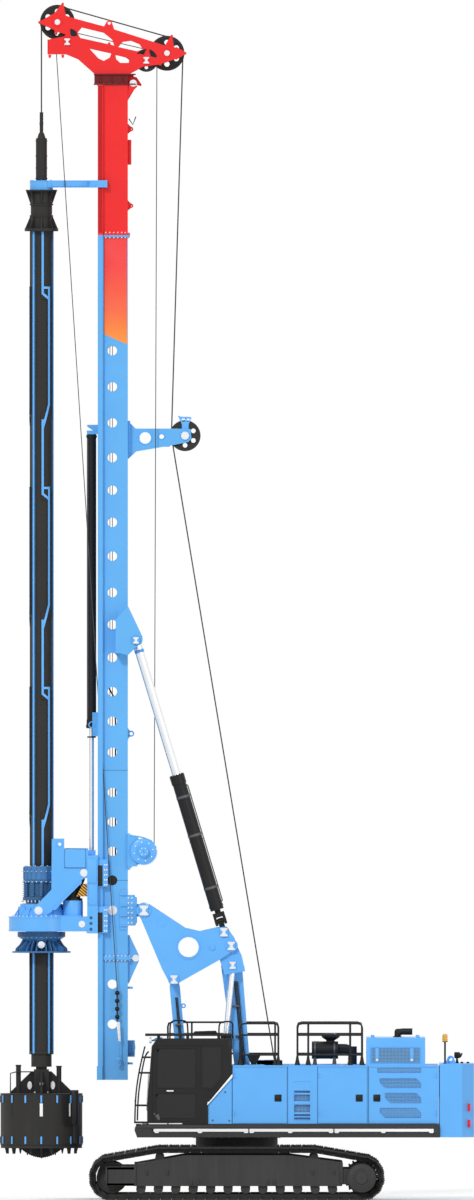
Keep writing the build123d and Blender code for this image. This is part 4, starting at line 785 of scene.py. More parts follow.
def grillePanel(name, outline, body):
    # framed opening with a perforated sheet and thin slats in front of it
    y = houseSide
    bm = bmesh.new()
    slab(bm, outline, y - 0.003, y + 0.004)
    done(name + "Sheet", bm, body, "grille")
    bm = bmesh.new()
    frameStrip(bm, outline, y - 0.012, y + 0.001, 0.016)
    low, high = min(z for _, z in outline), max(z for _, z in outline)
    z = low + slatStep
    while z < high - 0.012:
        xs = []
        for (xa, za), (xb, zb) in zip(outline, outline[1:] + outline[:1]):
            if (za - z) * (zb - z) < 0:
                xs.append(xa + (xb - xa) * (z - za) / (zb - za))
        if len(xs) == 2:
            block(bm, (min(xs) + 0.012, y - 0.010, z - 0.004), (max(xs) - 0.012, y - 0.002, z + 0.004))
        z += slatStep
    done(name + "Frame", bm, body, "blue")


def cutCorners(x0, x1, z0, z1, cut):
    return [(x0, z1), (x1 - cut, z1), (x1, z1 - cut), (x1, z0), (x0 + cut * 1.1, z0), (x0, z0 + cut * 1.1)]


grillePanel("louvreTop", band(2.812, louvreEnd, 2.648, 2.562), "house_door_left_rear")
for name, x0, z0, z1 in (("Upper", 2.858, 2.258, 2.442), ("Middle", 2.962, 1.954, 2.150),
                         ("Lower", 2.858, 1.662, 1.852)):
    grillePanel("louvre" + name, cutCorners(x0, louvreEnd, z0, z1, 0.095), "house_door_left_rear")

# latches: name, place along the house, side, door
for name, x, side, door in (("latchFront", 0.824, -1, "left_front"),
                            ("latchMiddle", 2.446, -1, "left_middle"),
                            ("latchRear", 2.798, -1, "left_rear"),
                            ("latchRightFront", 0.75, 1, "right_front"),
                            ("latchRightRear", 2.798, 1, "right_rear")):
    bm = bmesh.new()
    for halfX, halfZ, out, sunk, edge in ((0.070, 0.070, 0.010, -0.004, 0.012),
                                          (0.045, 0.022, 0.020, 0.008, 0.006)):
        y0, y1 = sorted(side * (abs(houseSide) + reach) for reach in (out, sunk))
        block(bm, (x - halfX, y0, latchZ - halfZ), (x + halfX, y1, latchZ + halfZ), edge)
    done(name, bm, "house_door_" + door, "black")


def doorDress(node, hingeX, side):
    # folded rim on the inside and two strap hinges
    body = "house_" + node
    low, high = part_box(node)
    inner = high.y if side < 0 else low.y
    bm = bmesh.new()
    y0, y1 = sorted((inner, inner - side * 0.018))
    frameStrip(bm, band(low.x + 0.03, high.x - 0.03, low.z + 0.03, high.z - 0.03), y0, y1, 0.030)
    done(node + "Rim", bm, body, "blue")
    bm = bmesh.new()
    turn = 1 if abs(hingeX - low.x) < abs(hingeX - high.x) else -1
    face = side * abs(houseSide)
    pinX = hingeX + turn * 0.012
    for z in (1.75, 2.50):
        bar(bm, (pinX, face + side * 0.008, z - 0.05), (pinX, face + side * 0.008, z + 0.05), 0.010, 10)
        a, b = sorted((pinX, hingeX + turn * 0.075))
        y0, y1 = sorted((face, face + side * 0.006))
        block(bm, (a, y0, z - 0.04), (b, y1, z + 0.04), 0.002, 1)
    done(node + "Hinges", bm, body, "blue")


for node, hingeX, side in (("door_left_front", -0.050, -1), ("door_left_middle", 1.630, -1),
                           ("door_left_rear", 3.990, -1), ("door_right_front", -1.450, 1),
                           ("door_right_rear", 3.990, 1)):
    doorDress(node, hingeX, side)

# steps in the side panel, with a perforated sheet behind them
bm = bmesh.new()
for z0, z1 in ((1.600, 1.616), (1.662, 1.686), (1.918, 1.986), (2.195, 2.242), (2.380, 2.410)):
    block(bm, (1.145, houseSide - 0.008, z0), (1.478, houseSide + 0.05, z1), 0.004)
for x0, x1 in ((1.134, 1.148), (1.462, 1.480)):
    block(bm, (x0, houseSide - 0.006, 1.60), (x1, houseSide + 0.03, 2.41), 0.003)
done("stepTreads", bm, "upper_structure", "blue")
bm = bmesh.new()
block(bm, (1.140, houseSide + 0.052, 1.600), (1.485, houseSide + 0.10, 2.42))
done("stepBackPlate", bm, "upper_structure", "grille")

# seams between the panels, roof edge and the black sill
bm = bmesh.new()
for x in (-0.088, 1.018, 1.614, 2.622):
    block(bm, (x - 0.006, houseSide - 0.0015, 1.532), (x + 0.006, houseSide + 0.002, 2.690))
block(bm, (-0.09, houseSide - 0.002, 1.529), (4.03, houseSide + 0.002, 1.540))
done("panelSeams", bm, "upper_structure", "deepBlue")
bm = bmesh.new()
for y0, y1 in ((houseSide - 0.004, houseSide + 0.03), (-houseSide - 0.03, -houseSide + 0.004)):
    block(bm, (-0.09, y0, houseTop - 0.004), (2.59, y1, houseTop + 0.012), 0.003)
    block(bm, (3.766, y0, houseTop - 0.004), (4.03, y1, houseTop + 0.012), 0.003)
for x in (0.45, 1.30, 1.95, 2.45):
    block(bm, (x - 0.30, -1.15, houseTop), (x + 0.10, -0.75, houseTop + 0.02), 0.006)
done("roofEdges", bm, "upper_structure", "blue")

# hood: perforated window with two straps, rounded edge strips, lifting studs
hoodLow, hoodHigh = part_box("hood")
hoodStraps = (2.802, 3.494)
for side, name in ((-1, "Left"), (1, "Right")):
    face = hoodLow.y if side < 0 else hoodHigh.y
    y0, y1 = sorted((face, face + side * 0.005))
    bm = bmesh.new()
    slab(bm, band(2.686, 3.650, 2.758, 3.044), y0, y1)
    done("hoodMesh" + name, bm, "upper_structure", "grille")
    bm = bmesh.new()
    y0, y1 = sorted((face, face + side * 0.010))
    frameStrip(bm, band(2.670, 3.666, 2.742, 3.060), y0, y1, 0.018)
    for x in hoodStraps:
        block(bm, (x - 0.032, y0, 2.80), (x + 0.032, y1, 3.044), 0.003)
    done("hoodMeshFrame" + name, bm, "upper_structure", "blue")
    bm = bmesh.new()
    for x in hoodStraps:
        bar(bm, (x, face, 2.810), (x, face + side * 0.012, 2.810), 0.024, 20)
    done("hoodStuds" + name, bm, "upper_structure", "pin")
bm = bmesh.new()
for x in (2.72, 3.62):
    for y in (-1.35, 1.35):
        ring(bm, [(0.01, 0), (0.042, 0), (0.036, 0.03), (0.01, 0.036)], (x, y, hoodHigh.z), (0, 0, 1), 20)
done("hoodTopStuds", bm, "upper_structure", "blue")


def bentPipe(bm, path, radius):
    # swept tube along points, each ring square to the run
    loops = []
    for i, p in enumerate(path):
        p = Vector(p)
        before = Vector(path[max(i - 1, 0)])
        after = Vector(path[min(i + 1, len(path) - 1)])
        turn = (after - before).to_track_quat("Z", "Y").to_matrix().to_4x4()
        made = bmesh.ops.create_circle(bm, cap_ends=False, segments=24, radius=radius,
                                       matrix=Matrix.Translation(p) @ turn)
        loops.append(list({e for v in made["verts"] for e in v.link_edges}))
        if i:
            bmesh.ops.bridge_loops(bm, edges=loops[-2] + loops[-1])


# exhaust: bent pipe with a slant cut mouth
exhaust = {"radius": 0.064, "base": 3.212, "top": 3.366, "bend": 0.11, "mouth": 3.44}
e = exhaust
bm = bmesh.new()
bend = wrap(Vector((e["base"] + e["bend"], 0, e["top"] - e["bend"])), e["bend"], 180, 90, 9, 0.0)
bentPipe(bm, [(e["base"], 0, 3.235)] + bend + [(e["mouth"], 0, e["top"])], e["radius"])
bmesh.ops.recalc_face_normals(bm, faces=bm.faces)
for v in bm.verts:
    if v.co.x > e["mouth"] - 0.01:
        v.co.x = e["mouth"] + (v.co.z - e["top"]) * 0.9 + 0.02
bmesh.ops.solidify(bm, geom=bm.faces[:], thickness=0.006)
ring(bm, band(0.062, 0.090, 0.0, 0.018), (e["base"], 0, hoodHigh.z), (0, 0, 1), 28)
done("exhaustBend", bm, "upper_structure", "black")

# air cleaner: ribbed can, rain cap, elbow and straps
airTrim = {"y": 1.0, "z": 2.985, "front": 1.502, "cap": 1.880}
t = airTrim
bm = bmesh.new()
ring(bm, [(0.01, 0.0), (0.165, 0.0), (0.178, 0.012), (0.178, 0.03), (0.172, 0.034), (0.172, 0.10),
          (0.180, 0.104), (0.180, 0.126), (0.172, 0.130), (0.172, 0.37), (0.180, 0.374), (0.180, 0.396),
          (0.172, 0.40), (0.172, 0.49), (0.150, 0.524), (0.01, 0.528)], (t["front"], t["y"], t["z"]),
          (1, 0, 0), 40)
ring(bm, [(0.01, 0.10), (0.075, 0.10), (0.075, 0.19), (0.150, 0.235), (0.182, 0.262), (0.182, 0.285),
          (0.150, 0.302), (0.10, 0.335), (0.01, 0.345)], (t["cap"], t["y"], t["z"]), (0, 0, 1), 36)
block(bm, (t["cap"] - 0.008, t["y"] - 0.008, 3.20), (t["cap"] + 0.008, t["y"] + 0.008, 3.25))
elbow = wrap(Vector((2.16, 0, 2.88)), 0.15, 90, 0, 8, t["y"])
bentPipe(bm, [(2.02, t["y"], 3.03)] + elbow + [(2.31, t["y"], houseTop)], 0.080)
for z in (2.74, 2.80):
    ring(bm, band(0.078, 0.088, 0, 0.02), (2.31, t["y"], z), (0, 0, 1), 28)
done("airCleaner", bm, "upper_structure", "black")
bm = bmesh.new()
for x in (1.565, 1.955):
    slab(bm, [(x - 0.045, houseTop), (x + 0.045, houseTop), (x + 0.028, 2.84), (x - 0.028, 2.84)],
         t["y"] - 0.10, t["y"] + 0.10, 0.004)
    ring(bm, band(0.172, 0.183, -0.015, 0.015), (x, t["y"], t["z"]), (1, 0, 0), 40)
done("airCleanerStraps", bm, "upper_structure", "steel", "black")

# trestle behind the front rail, and the plates round the winch's top
bm = bmesh.new()
for y in (-0.95, -0.82):
    slab(bm, [(0.208, 2.922), (0.474, 2.922), (0.474, 2.890), (0.390, 2.724), (0.350, 2.700), (0.300, 2.700),
              (0.268, 2.760), (0.208, 2.890)], y, y + 0.02, 0.004)
block(bm, (0.208, -0.95, 2.900), (0.474, -0.80, 2.924), 0.004)
done("roofTrestle", bm, "upper_structure", "black")
bm = bmesh.new()
block(bm, (0.406, -0.40, 2.700), (0.545, 0.40, 2.796), 0.006)
block(bm, (0.850, -0.40, 2.700), (0.912, 0.40, 2.796), 0.006)
for y0 in (-0.43, 0.41):
    block(bm, (0.406, y0, 2.700), (0.912, y0 + 0.02, 2.796), 0.004)
done("winchTopPlates", bm, "upper_structure", "blue")

# rope wound on the drums
drumTrim = {"x": 0.600, "z": 2.000, "core": 0.267, "half": 0.35, "rope": 0.016}
serviceAt = Vector((-1.862, 0, 6.968))


def woundRope(name, spot, core, low, high, ropeRadius, body):
    profile, y = [], low + ropeRadius
    bm = bmesh.new()
    while y < high - ropeRadius:
        profile += [(core + 0.2 * ropeRadius, y - ropeRadius),
                    (core + 1.5 * ropeRadius, y - 0.7 * ropeRadius), (core + 2.0 * ropeRadius, y),
                    (core + 1.5 * ropeRadius, y + 0.7 * ropeRadius)]
        y += 2 * ropeRadius
    profile += [(core + 0.2 * ropeRadius, y - ropeRadius), (core - 0.02, y - ropeRadius), (core - 0.02, low)]
    ring(bm, profile, (spot[0], 0, spot[1]), (0, 1, 0), 48)
    done(name, bm, body, "rope")


d = drumTrim
woundRope("mainDrumRope", (d["x"], d["z"]), d["core"], -d["half"], d["half"], d["rope"], "main_winch")
woundRope("serviceDrumRope", (serviceAt.x, serviceAt.z), 0.190, -0.305, -0.095, 0.010, "service_winch")

# tail: reflectors, edge strips, camera, lamp
weightLow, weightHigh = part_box("counterweight")
weightTop = 2.734
lens = template(lambda small: block(small, (-0.010, -0.076, -0.080), (0.012, 0.076, 0.080), 0.006))
bm = bmesh.new()
for z in (1.861, 1.538):
    for side in (-1, 1):
        stamp(bm, lens, turned(-side * math.atan2(0.24, 0.33), 4.620, z, side * 1.435))
done("tailReflectors", bm, "upper_structure", "redLens")
bm = bmesh.new()
sideBlocks(bm, 4.026, 4.044, 1.496, 1.506, 2.07, 2.69, 0.002)
done("tailEdgeStrips", bm, "upper_structure", "pin")
bm = bmesh.new()
block(bm, (4.346, -0.66, 2.836), (4.470, -0.52, 2.960), 0.02)
bar(bm, (4.468, -0.59, 2.905), (4.500, -0.59, 2.890), 0.045, 20)
slab(bm, [(4.375, weightTop), (4.44, weightTop), (4.415, 2.85), (4.385, 2.85)], -0.60, -0.58)
for x in (4.50, 4.62):
    ring(bm, [(0.005, 0), (0.030, 0), (0.026, 0.03), (0.005, 0.035)], (x, -0.6, weightTop), (0, 0, 1), 16)
done("rearCamera", bm, "upper_structure", "black")
bm = bmesh.new()
for y in (weightLow.y + 0.33, weightHigh.y - 0.33):
    block(bm, (weightHigh.x - 0.004, y - 0.004, 1.27), (weightHigh.x - 0.0005, y + 0.004, 2.73))
block(bm, (4.050, weightLow.y + 0.001, 2.726), (4.495, weightHigh.y - 0.001, weightTop + 0.0005), 0.002, 1)
done("tailEdges", bm, "upper_structure", "blue")
lampX, lampY = 4.160, -1.20
bm = bmesh.new()
bar(bm, (lampX, lampY, weightTop), (lampX, lampY, 3.178), 0.019, 16)
ring(bm, [(0.01, 0), (0.05, 0), (0.05, 0.008), (0.01, 0.012)], (lampX, lampY, weightTop), (0, 0, 1), 24)
ring(bm, [(0.01, 0), (0.055, 0), (0.055, 0.014), (0.01, 0.016)], (lampX, lampY, 3.165), (0, 0, 1), 24)
done("lampPole", bm, "upper_structure", "black")
bm = bmesh.new()
ring(bm, [(0.01, 0.0), (0.050, 0.0), (0.054, 0.02), (0.054, 0.10), (0.048, 0.13), (0.030, 0.147),
          (0.01, 0.149)],
     (lampX, lampY, 3.180), (0, 0, 1), 28)
for k in range(4):
    ring(bm, [(0.052, 0.0), (0.058, 0.004), (0.052, 0.008)], (lampX, lampY, 3.205 + 0.026 * k), (0, 0, 1), 28)
done("amberLamp", bm, "upper_structure", "amber", replaces=["beacon"])

# hand rails with bent corners and cone feet
railTrim = {"radius": 0.019, "y": 1.54, "rows": (0.219, 0.615), "top": 0.845, "corner": 0.09}
railSets = [(0.066, 0.832, [0.766], -1), (1.214, 2.506, [1.430, 2.268], -1),
            (1.214, 2.506, [1.430, 2.268], 1), (-1.380, 0.832, [-0.900, -0.160], 1)]
runs = []
for x0, x1, posts, side in railSets:
    y, c, top = side * railTrim["y"], railTrim["corner"], houseTop + railTrim["top"]
    runs.append([(x0, y, houseTop), (x0, y, top - c), (x0 + 0.02, y, top - 0.02), (x0 + c, y, top),
                 (x1 - c, y, top), (x1 - 0.02, y, top - 0.02), (x1, y, top - c), (x1, y, houseTop)])
    for x in posts:
        runs.append([(x, y, houseTop), (x, y, top)])
    for row in railTrim["rows"]:
        runs.append([(x0, y, houseTop + row), (x1, y, houseTop + row)])
tubing("handRails", runs, railTrim["radius"], "upper_structure", "black", replaces=["handrails"])
bm = bmesh.new()
for x0, x1, posts, side in railSets:
    for x in [x0, x1] + posts:
        ring(bm, [(0.005, 0.0), (0.055, 0.0), (0.052, 0.016), (0.034, 0.09), (0.022, 0.166), (0.005, 0.168)],
             (x, side * railTrim["y"], houseTop), (0, 0, 1), 16)
done("railFeet", bm, "upper_structure", "black")
print("house done")


# arms and mast pivot: pin heads, pipes, stiffeners

pivotAt = jointAt["mast_tilt"]
linkTop, boomTop = Vector((-1.254, 0, 4.409)), jointAt["triangle_turn"]
linkFoot, boomFoot = jointAt["front_link_turn"], jointAt["boom_luff"]
strutFoot, strutTop = jointAt["luff_barrels_turn"], Vector((-0.081, 0, 4.692))
stayFoot, stayHead = Vector((-0.256, 0, 5.354)), Vector((-2.014, 0, 11.188))
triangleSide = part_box("triangle")[1].y


def pinHead(bm, lock, x, z, y, side, radius=0.080):
    # round head with a rim, and a waisted lock plate bolted over it
    ring(bm, [(0.004, 0), (radius, 0), (radius, 0.010), (radius * 0.90, 0.016), (0.004, 0.016)], (x, y, z),
         (0, side, 0), 32)
    w, h = radius * 0.92, radius * 1.05
    plateAt = y + side * 0.014
    slab(lock, [(x - w, z + h), (x + w, z + h), (x + w, z + h * 0.62), (x + w * 0.38, z + h * 0.22),
                (x + w * 0.38, z - h * 0.22), (x + w, z - h * 0.62), (x + w, z - h), (x - w, z - h),
                (x - w, z - h * 0.62), (x - w * 0.38, z - h * 0.22), (x - w * 0.38, z + h * 0.22),
                (x - w, z + h * 0.62)], plateAt, plateAt + side * 0.012)
    nuts(lock, [(x + dx * w * 0.7, plateAt + side * 0.010, z + dz * h * 0.8) for dx in (-1, 1)
                for dz in (-1, 1)],
         (0, side, 0), 0.013, 0.012)


def pinPair(name, spots, y, body, radius=0.080):
    heads, locks = bmesh.new(), bmesh.new()
    for x, z in spots:
        for side in (-1, 1):
            pinHead(heads, locks, x, z, side * y, side, radius)
    done(name + "Heads", heads, body, "blue")
    done(name + "Locks", locks, body, "pin")


pinPair("trianglePins", [(boomTop.x, boomTop.z), (linkTop.x, linkTop.z), (stayFoot.x, stayFoot.z)],
        triangleSide - 0.001, "triangle")
pinPair("mastPin", [(pivotAt.x, pivotAt.z)], triangleSide + 0.001, "swivel_bracket", 0.095)
pinPair("linkFootPins", [(linkFoot.x, linkFoot.z)], 0.286, "upper_structure", 0.07)
pinPair("boomFootPins", [(boomFoot.x, boomFoot.z)], 0.286, "upper_structure", 0.07)
pinPair("strutPins", [(strutTop.x, strutTop.z)], 0.521, "boom", 0.07)

bm = bmesh.new()
plateFace = triangleSide - 0.019
sideRings(bm, band(0.204, 0.238, -0.045, 0.012), -0.966, plateFace, 5.051, 48)
sideRings(bm, [(0.10, 0), (0.150, 0), (0.145, 0.014), (0.10, 0.014)], pivotAt.x, plateFace, pivotAt.z, 40)
for at, r in ((boomTop, 0.13), (linkTop, 0.12), (stayFoot, 0.11)):
    sideRings(bm, [(0.05, 0), (r, 0), (r - 0.008, 0.010), (0.05, 0.010)], at.x, plateFace, at.z, 36)
sideRings(bm, [(0.002, 0), (0.060, 0), (0.052, 0.02), (0.002, 0.022)], -0.490, plateFace, 5.046, 28)
block(bm, (-1.80, -0.545, 5.500), (-1.20, 0.545, 5.530))
done("triangleRings", bm, "triangle", "blue")

# arm details: ring lugs, hoses, clamps
bm = bmesh.new()
for x, z in ((-1.066, 3.882), (0.108, 4.632)):
    ring(bm, band(0.022, 0.050, -0.012, 0.012), (x, -0.20, z), (0, 1, 0), 24)
done("armRingLugs", bm, "front_link", "blue")
for name, body, foot, reach, ys in (("frontLinkHoses", "front_link", linkFoot, 2.45, (-0.262, -0.285)),
                                    ("boomHoses", "boom", boomFoot, 2.10, (-0.262, -0.285, -0.308))):
    up = Vector((-math.sin(math.radians(5.3)), 0, math.cos(math.radians(5.3))))
    runs = []
    for i, y in enumerate(ys):
        ends = [foot + up * s for s in (0.25, reach)]
        runs.append([(p.x + 0.03 * i, y, p.z) for p in ends])
    tubing(name, runs, 0.012, body, "hose")
for body, foot, stations, half in (("front_link", linkFoot, (0.5, 1.2, 1.9), 0.06),
                                   ("boom", boomFoot, (0.4, 1.0, 1.6), 0.08)):
    bm = bmesh.new()
    for s in stations:
        at = foot + up * s
        block(bm, (at.x - half, -0.318, at.z - 0.018), (at.x + half, -0.249, at.z + 0.018), 0.004)
    done(body + "Clamps", bm, body, "steel")

# cylinders: gland rings, bolt heads, pipes and clamps, rod head rings, foot eyes
stayUnit = (stayHead - stayFoot).normalized()
stayLength = (stayHead - stayFoot).length
luffUnit = (strutTop - strutFoot).normalized()
for side, name in ((-1, "left"), (1, "right")):
    y = side * 0.4
    at = lambda s: stayFoot + stayUnit * s + Vector((0, y, 0))
    bm = bmesh.new()
    for s0, r, wide in ((3.19, 0.150, 0.09), (3.10, 0.146, 0.03), (0.52, 0.143, 0.05), (1.9, 0.141, 0.02)):
        ring(bm, band(0.12, r, 0, wide), at(s0), stayUnit, 40)
    across = Vector((stayUnit.z, 0, -stayUnit.x))
    nuts(bm, [at(3.28) + across * p.x + Vector((0, p.y, 0)) for p in circleOf((0, 0, 0), 0.12, 12)],
         stayUnit, 0.012, 0.012)
    done("stayGland" + name.title(), bm, "stay_barrel_" + name, "black")
    out = across * 0.155
    low, high = at(0.62) + out, at(3.02) + out
    tubing("stayPipe" + name.title(), [[low, at(1.8) + out, high], [high, at(3.05) + out * 0.8],
                                       [low, at(0.60) + out * 0.8]], 0.011, "stay_barrel_" + name, "steel")
    bm = bmesh.new()
    for s0 in (0.9, 2.0, 2.8):
        ring(bm, band(0.128, 0.141, 0, 0.05), at(s0), stayUnit, 40)
    done("stayPipeClamps" + name.title(), bm, "stay_barrel_" + name, "steel")
    bm = bmesh.new()
    ring(bm, [(0.02, 0), (0.096, 0), (0.096, 0.05), (0.085, 0.08), (0.02, 0.09)], at(stayLength - 0.26),
         stayUnit, 40)
    ring(bm, band(0.060, 0.100, -0.046, 0.046), stayHead + Vector((0, y, 0)), (0, 1, 0), 40)
    done("stayRodHead" + name.title(), bm, "stay_rod_" + name, "blue")
    bm = bmesh.new()
    ring(bm, band(0.062, 0.112, -0.052, 0.052), stayFoot + Vector((0, y, 0)), (0, 1, 0), 36)
    done("stayFootEye" + name.title(), bm, "stay_foot_" + name, "black")
    y = side * 0.37
    at = lambda s: strutFoot + luffUnit * s + Vector((0, y, 0))
    bm = bmesh.new()
    for s0, r, wide in ((1.62, 0.108, 0.07), (0.16, 0.098, 0.04)):
        ring(bm, band(0.085, r, 0, wide), at(s0), luffUnit, 36)
    done("luffGland" + name.title(), bm, "luff_barrels", "black")
    out = Vector((0.105, 0, 0.02))
    tubing("luffPipe" + name.title(), [[at(0.25) + out, at(1.60) + out]], 0.010, "luff_barrels", "steel")
print("arms done")


# mast: seams, bolts, fade panel, brackets, winch dressing

mastFront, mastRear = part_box("mast_lower")[0].x + 0.020, -2.178
mastHalf, railHalf = 0.295, 0.390
footJoint, redJoint = 4.834, 19.292
mastTrim = {"seams": [6.39, 8.590], "hole": 0.095,
            "holeX": -2.488, "holeRows": [16.980, 16.260, 15.538, 14.842, 14.192, 13.548, 12.872, 12.144,
                                          11.502, 10.844, 10.162, 9.570, 8.950, 8.146, 7.556, 6.968, 4.310,
                                          3.510]}


def mastBand(name, z0, z1, look):
    bm = bmesh.new()
    sideBlocks(bm, mastFront + 0.102, mastRear + 0.012, mastHalf, mastHalf + 0.05, z0, z1, 0.004)
    block(bm, (mastRear - 0.002, -mastHalf - 0.04, z0), (mastRear + 0.045, mastHalf + 0.04, z1), 0.004)
    done(name, bm, "mast", look)


mastBand("flangeLower", footJoint - 0.040, footJoint + 0.040, "mastBlue")
mastBand("flangeUpperBlue", redJoint - 0.040, redJoint - 0.002, "mastBlue")
mastBand("flangeUpperRed", redJoint + 0.002, redJoint + 0.040, "red")
bm = bmesh.new()
for z in (footJoint, redJoint):
    for s in (-1, 1):
        for x in (-2.62, -2.54, -2.46, -2.38, -2.30, -2.23):
            bar(bm, (x, s * (mastHalf + 0.025), z - 0.062), (x, s * (mastHalf + 0.025), z + 0.062), 0.016, 6)
    for y in (-0.24, -0.12, 0, 0.12, 0.24):
        bar(bm, (mastRear + 0.024, y, z - 0.062), (mastRear + 0.024, y, z + 0.062), 0.016, 6)
done("mastBolts", bm, "mast", "pin")

bm = bmesh.new()
for z in mastTrim["seams"]:
    sideBlocks(bm, mastFront + 0.102, mastRear, mastHalf - 0.002, mastHalf + 0.0022, z - 0.004, z + 0.004)
    block(bm, (mastRear - 0.002, -mastHalf, z - 0.004), (mastRear + 0.0022, mastHalf, z + 0.004))
done("mastSeams", bm, "mast", "deepBlue")
hole, holeX = mastTrim["hole"], mastTrim["holeX"]
bm = bmesh.new()
for z in mastTrim["holeRows"]:
    sideRings(bm, [(hole, -0.012), (hole + 0.009, -0.012), (hole + 0.013, 0.003), (hole, 0.003)], holeX,
              mastHalf, z, 36)
done("holeRims", bm, "mast", "mastBlue")
for name, z, radius, rim, middle, look, slot in (("holePlugs", 6.390, hole + 0.005, 0.006, 0.010, "black",
                                                  "black"),
                                                 ("holeCaps", 5.790, hole, 0.005, 0.006, "pin", "blue")):
    bm = bmesh.new()
    sideRings(bm, [(0.002, 0.0), (radius, 0.0), (radius, rim), (0.002, middle)], holeX, mastHalf - 0.001, z)
    done(name, bm, "mast", look, slot)


def wearStrips(name, stretches, look):
    # running faces of the two front rails
    bm = bmesh.new()
    for z0, z1 in stretches:
        sideBlocks(bm, mastFront + 0.012, mastFront + 0.088, railHalf - 0.002, railHalf + 0.0015, z0, z1)
        sideBlocks(bm, mastFront - 0.0012, mastFront + 0.004, 0.302, 0.380, z0, z1)
    done(name, bm, "mast", look)


wearStrips("railWearStrips", ((2.70, 4.79), (4.88, 19.25)), "mastBlue")
wearStrips("redRailStrips", ((19.34, 22.28),), "darkRed")

# colour panel from orange to red, with a cut foot
bm = bmesh.new()
sideSlabs(bm, [(-2.660, 19.245), (-2.190, 19.245), (-2.190, 17.105), (-2.660, 17.312)], mastHalf,
          mastHalf + 0.003)
done("mastFadePanel", bm, "mast", "fade")

# brackets and gussets on the mast
bm = bmesh.new()
for z in (5.48, 5.68, 5.88, 6.10):
    sideBlocks(bm, -2.330, -2.182, mastHalf, mastHalf + 0.045, z - 0.012, z + 0.012, 0.003)
cheek = [(-2.340, 5.40), (-2.182, 5.40), (-2.182, 6.20), (-2.300, 6.20), (-2.340, 6.14)]
sideSlabs(bm, cheek, mastHalf, mastHalf + 0.016, 0.003)
flange = [(-2.198, 5.486), (-2.045, 5.486), (-1.995, 5.56), (-1.995, 6.02), (-2.045, 6.096), (-2.198, 6.096)]
sideSlabs(bm, flange, 0.281, 0.310, 0.004)
done("pivotGussets", bm, "mast", "mastBlue")
bm = bmesh.new()
for s in (-1, 1):
    for x in (-2.095, -2.165):
        nuts(bm, lineOf((x, s * 0.310, 5.54), (x, s * 0.310, 6.04), 6), (0, s, 0), 0.018, 0.016)
    nuts(bm, [(-2.025, s * 0.210, footJoint)], (0, s, 0), 0.045, 0.022)
    bar(bm, (-2.018, s * 0.208, footJoint), (-2.018, s * 0.238, footJoint), 0.070, 28)
done("pivotBolts", bm, "mast", "pin")
bm = bmesh.new()
ring(bm, [(0.125, 0), (0.30, 0), (0.29, 0.02), (0.125, 0.02)], (mastRear + 0.140, 0, pivotAt.z), (1, 0, 0),
     56)
rim = circleOf((0, 0, 0), 0.25, 20)
nuts(bm, [(mastRear + 0.158, p.x, pivotAt.z + p.y) for p in rim], (1, 0, 0), 0.016, 0.014)
done("trunnionCollar", bm, "mast", "mastBlue")

# small lugs and pegs on the mast's back
bm = bmesh.new()
root, lugZ = mastRear - 0.002, 9.322
for s in (-1, 1):
    slab(bm, [(root, lugZ + s * 0.128), (-2.155, lugZ + s * 0.075), (-2.120, lugZ + s * 0.056),
              (-2.143, lugZ + s * 0.030), (root, lugZ + s * 0.030)], -0.012, 0.012)
block(bm, (root, -0.012, lugZ - 0.037), (-2.145, 0.012, lugZ + 0.037))
ring(bm, band(0.033, 0.060, -0.014, 0.014), (-2.110, 0, lugZ), (0, 1, 0), 28)
for z in (2.730, 4.244):
    bar(bm, (mastRear - 0.01, -0.20, z), (mastRear + 0.10, -0.20, z), 0.022, 14, edge=0.004)
slab(bm, [(root, 2.910), (-2.040, 2.955), (-2.026, 3.050), (-2.040, 3.150), (root, 3.190)], -0.055, 0.055,
     0.006)
done("mastLugs", bm, "mast", "mastBlue")
bm = bmesh.new()
for z in (19.890, 21.424):
    slab(bm, [(root, z - 0.11), (-2.12, z - 0.06), (-2.10, z + 0.02), (root, z + 0.10)], -0.014, 0.014)
    ring(bm, band(0.018, 0.046, -0.016, 0.016), (-2.115, 0, z - 0.01), (0, 1, 0), 20)
block(bm, (mastRear, -0.06, 20.70), (mastRear + 0.07, 0.06, 21.20), 0.01)
done("redLugs", bm, "mast", "red")
tubing("mastCable", [[(mastRear + 0.02, -0.10, 21.62), (mastRear + 0.10, -0.10, 21.50),
                      (mastRear + 0.16, -0.10, 21.66)]],
       0.012, "mast", "hose")

# cylinder forks on the mast: edge rims and side bosses
forkOuter = 0.605
bm = bmesh.new()
boss = [(0.004, 0), (0.088, 0), (0.084, 0.016), (0.004, 0.018)]
sideRings(bm, boss, stayHead.x, forkOuter + 0.045, stayHead.z, 36)
for z0, z1 in ((10.93, 10.96), (11.59, 11.62)):
    sideBlocks(bm, -2.44, -2.30, mastHalf, forkOuter + 0.024, z0, z1, 0.004)
done("stayForkRims", bm, "mast", "mastBlue")
heads, locks = bmesh.new(), bmesh.new()
for s in (-1, 1):
    pinHead(heads, locks, stayHead.x, stayHead.z, s * (forkOuter + 0.062), s, 0.062)
done("stayForkPinHeads", heads, "mast", "mastBlue")
done("stayForkLocks", locks, "mast", "pin")

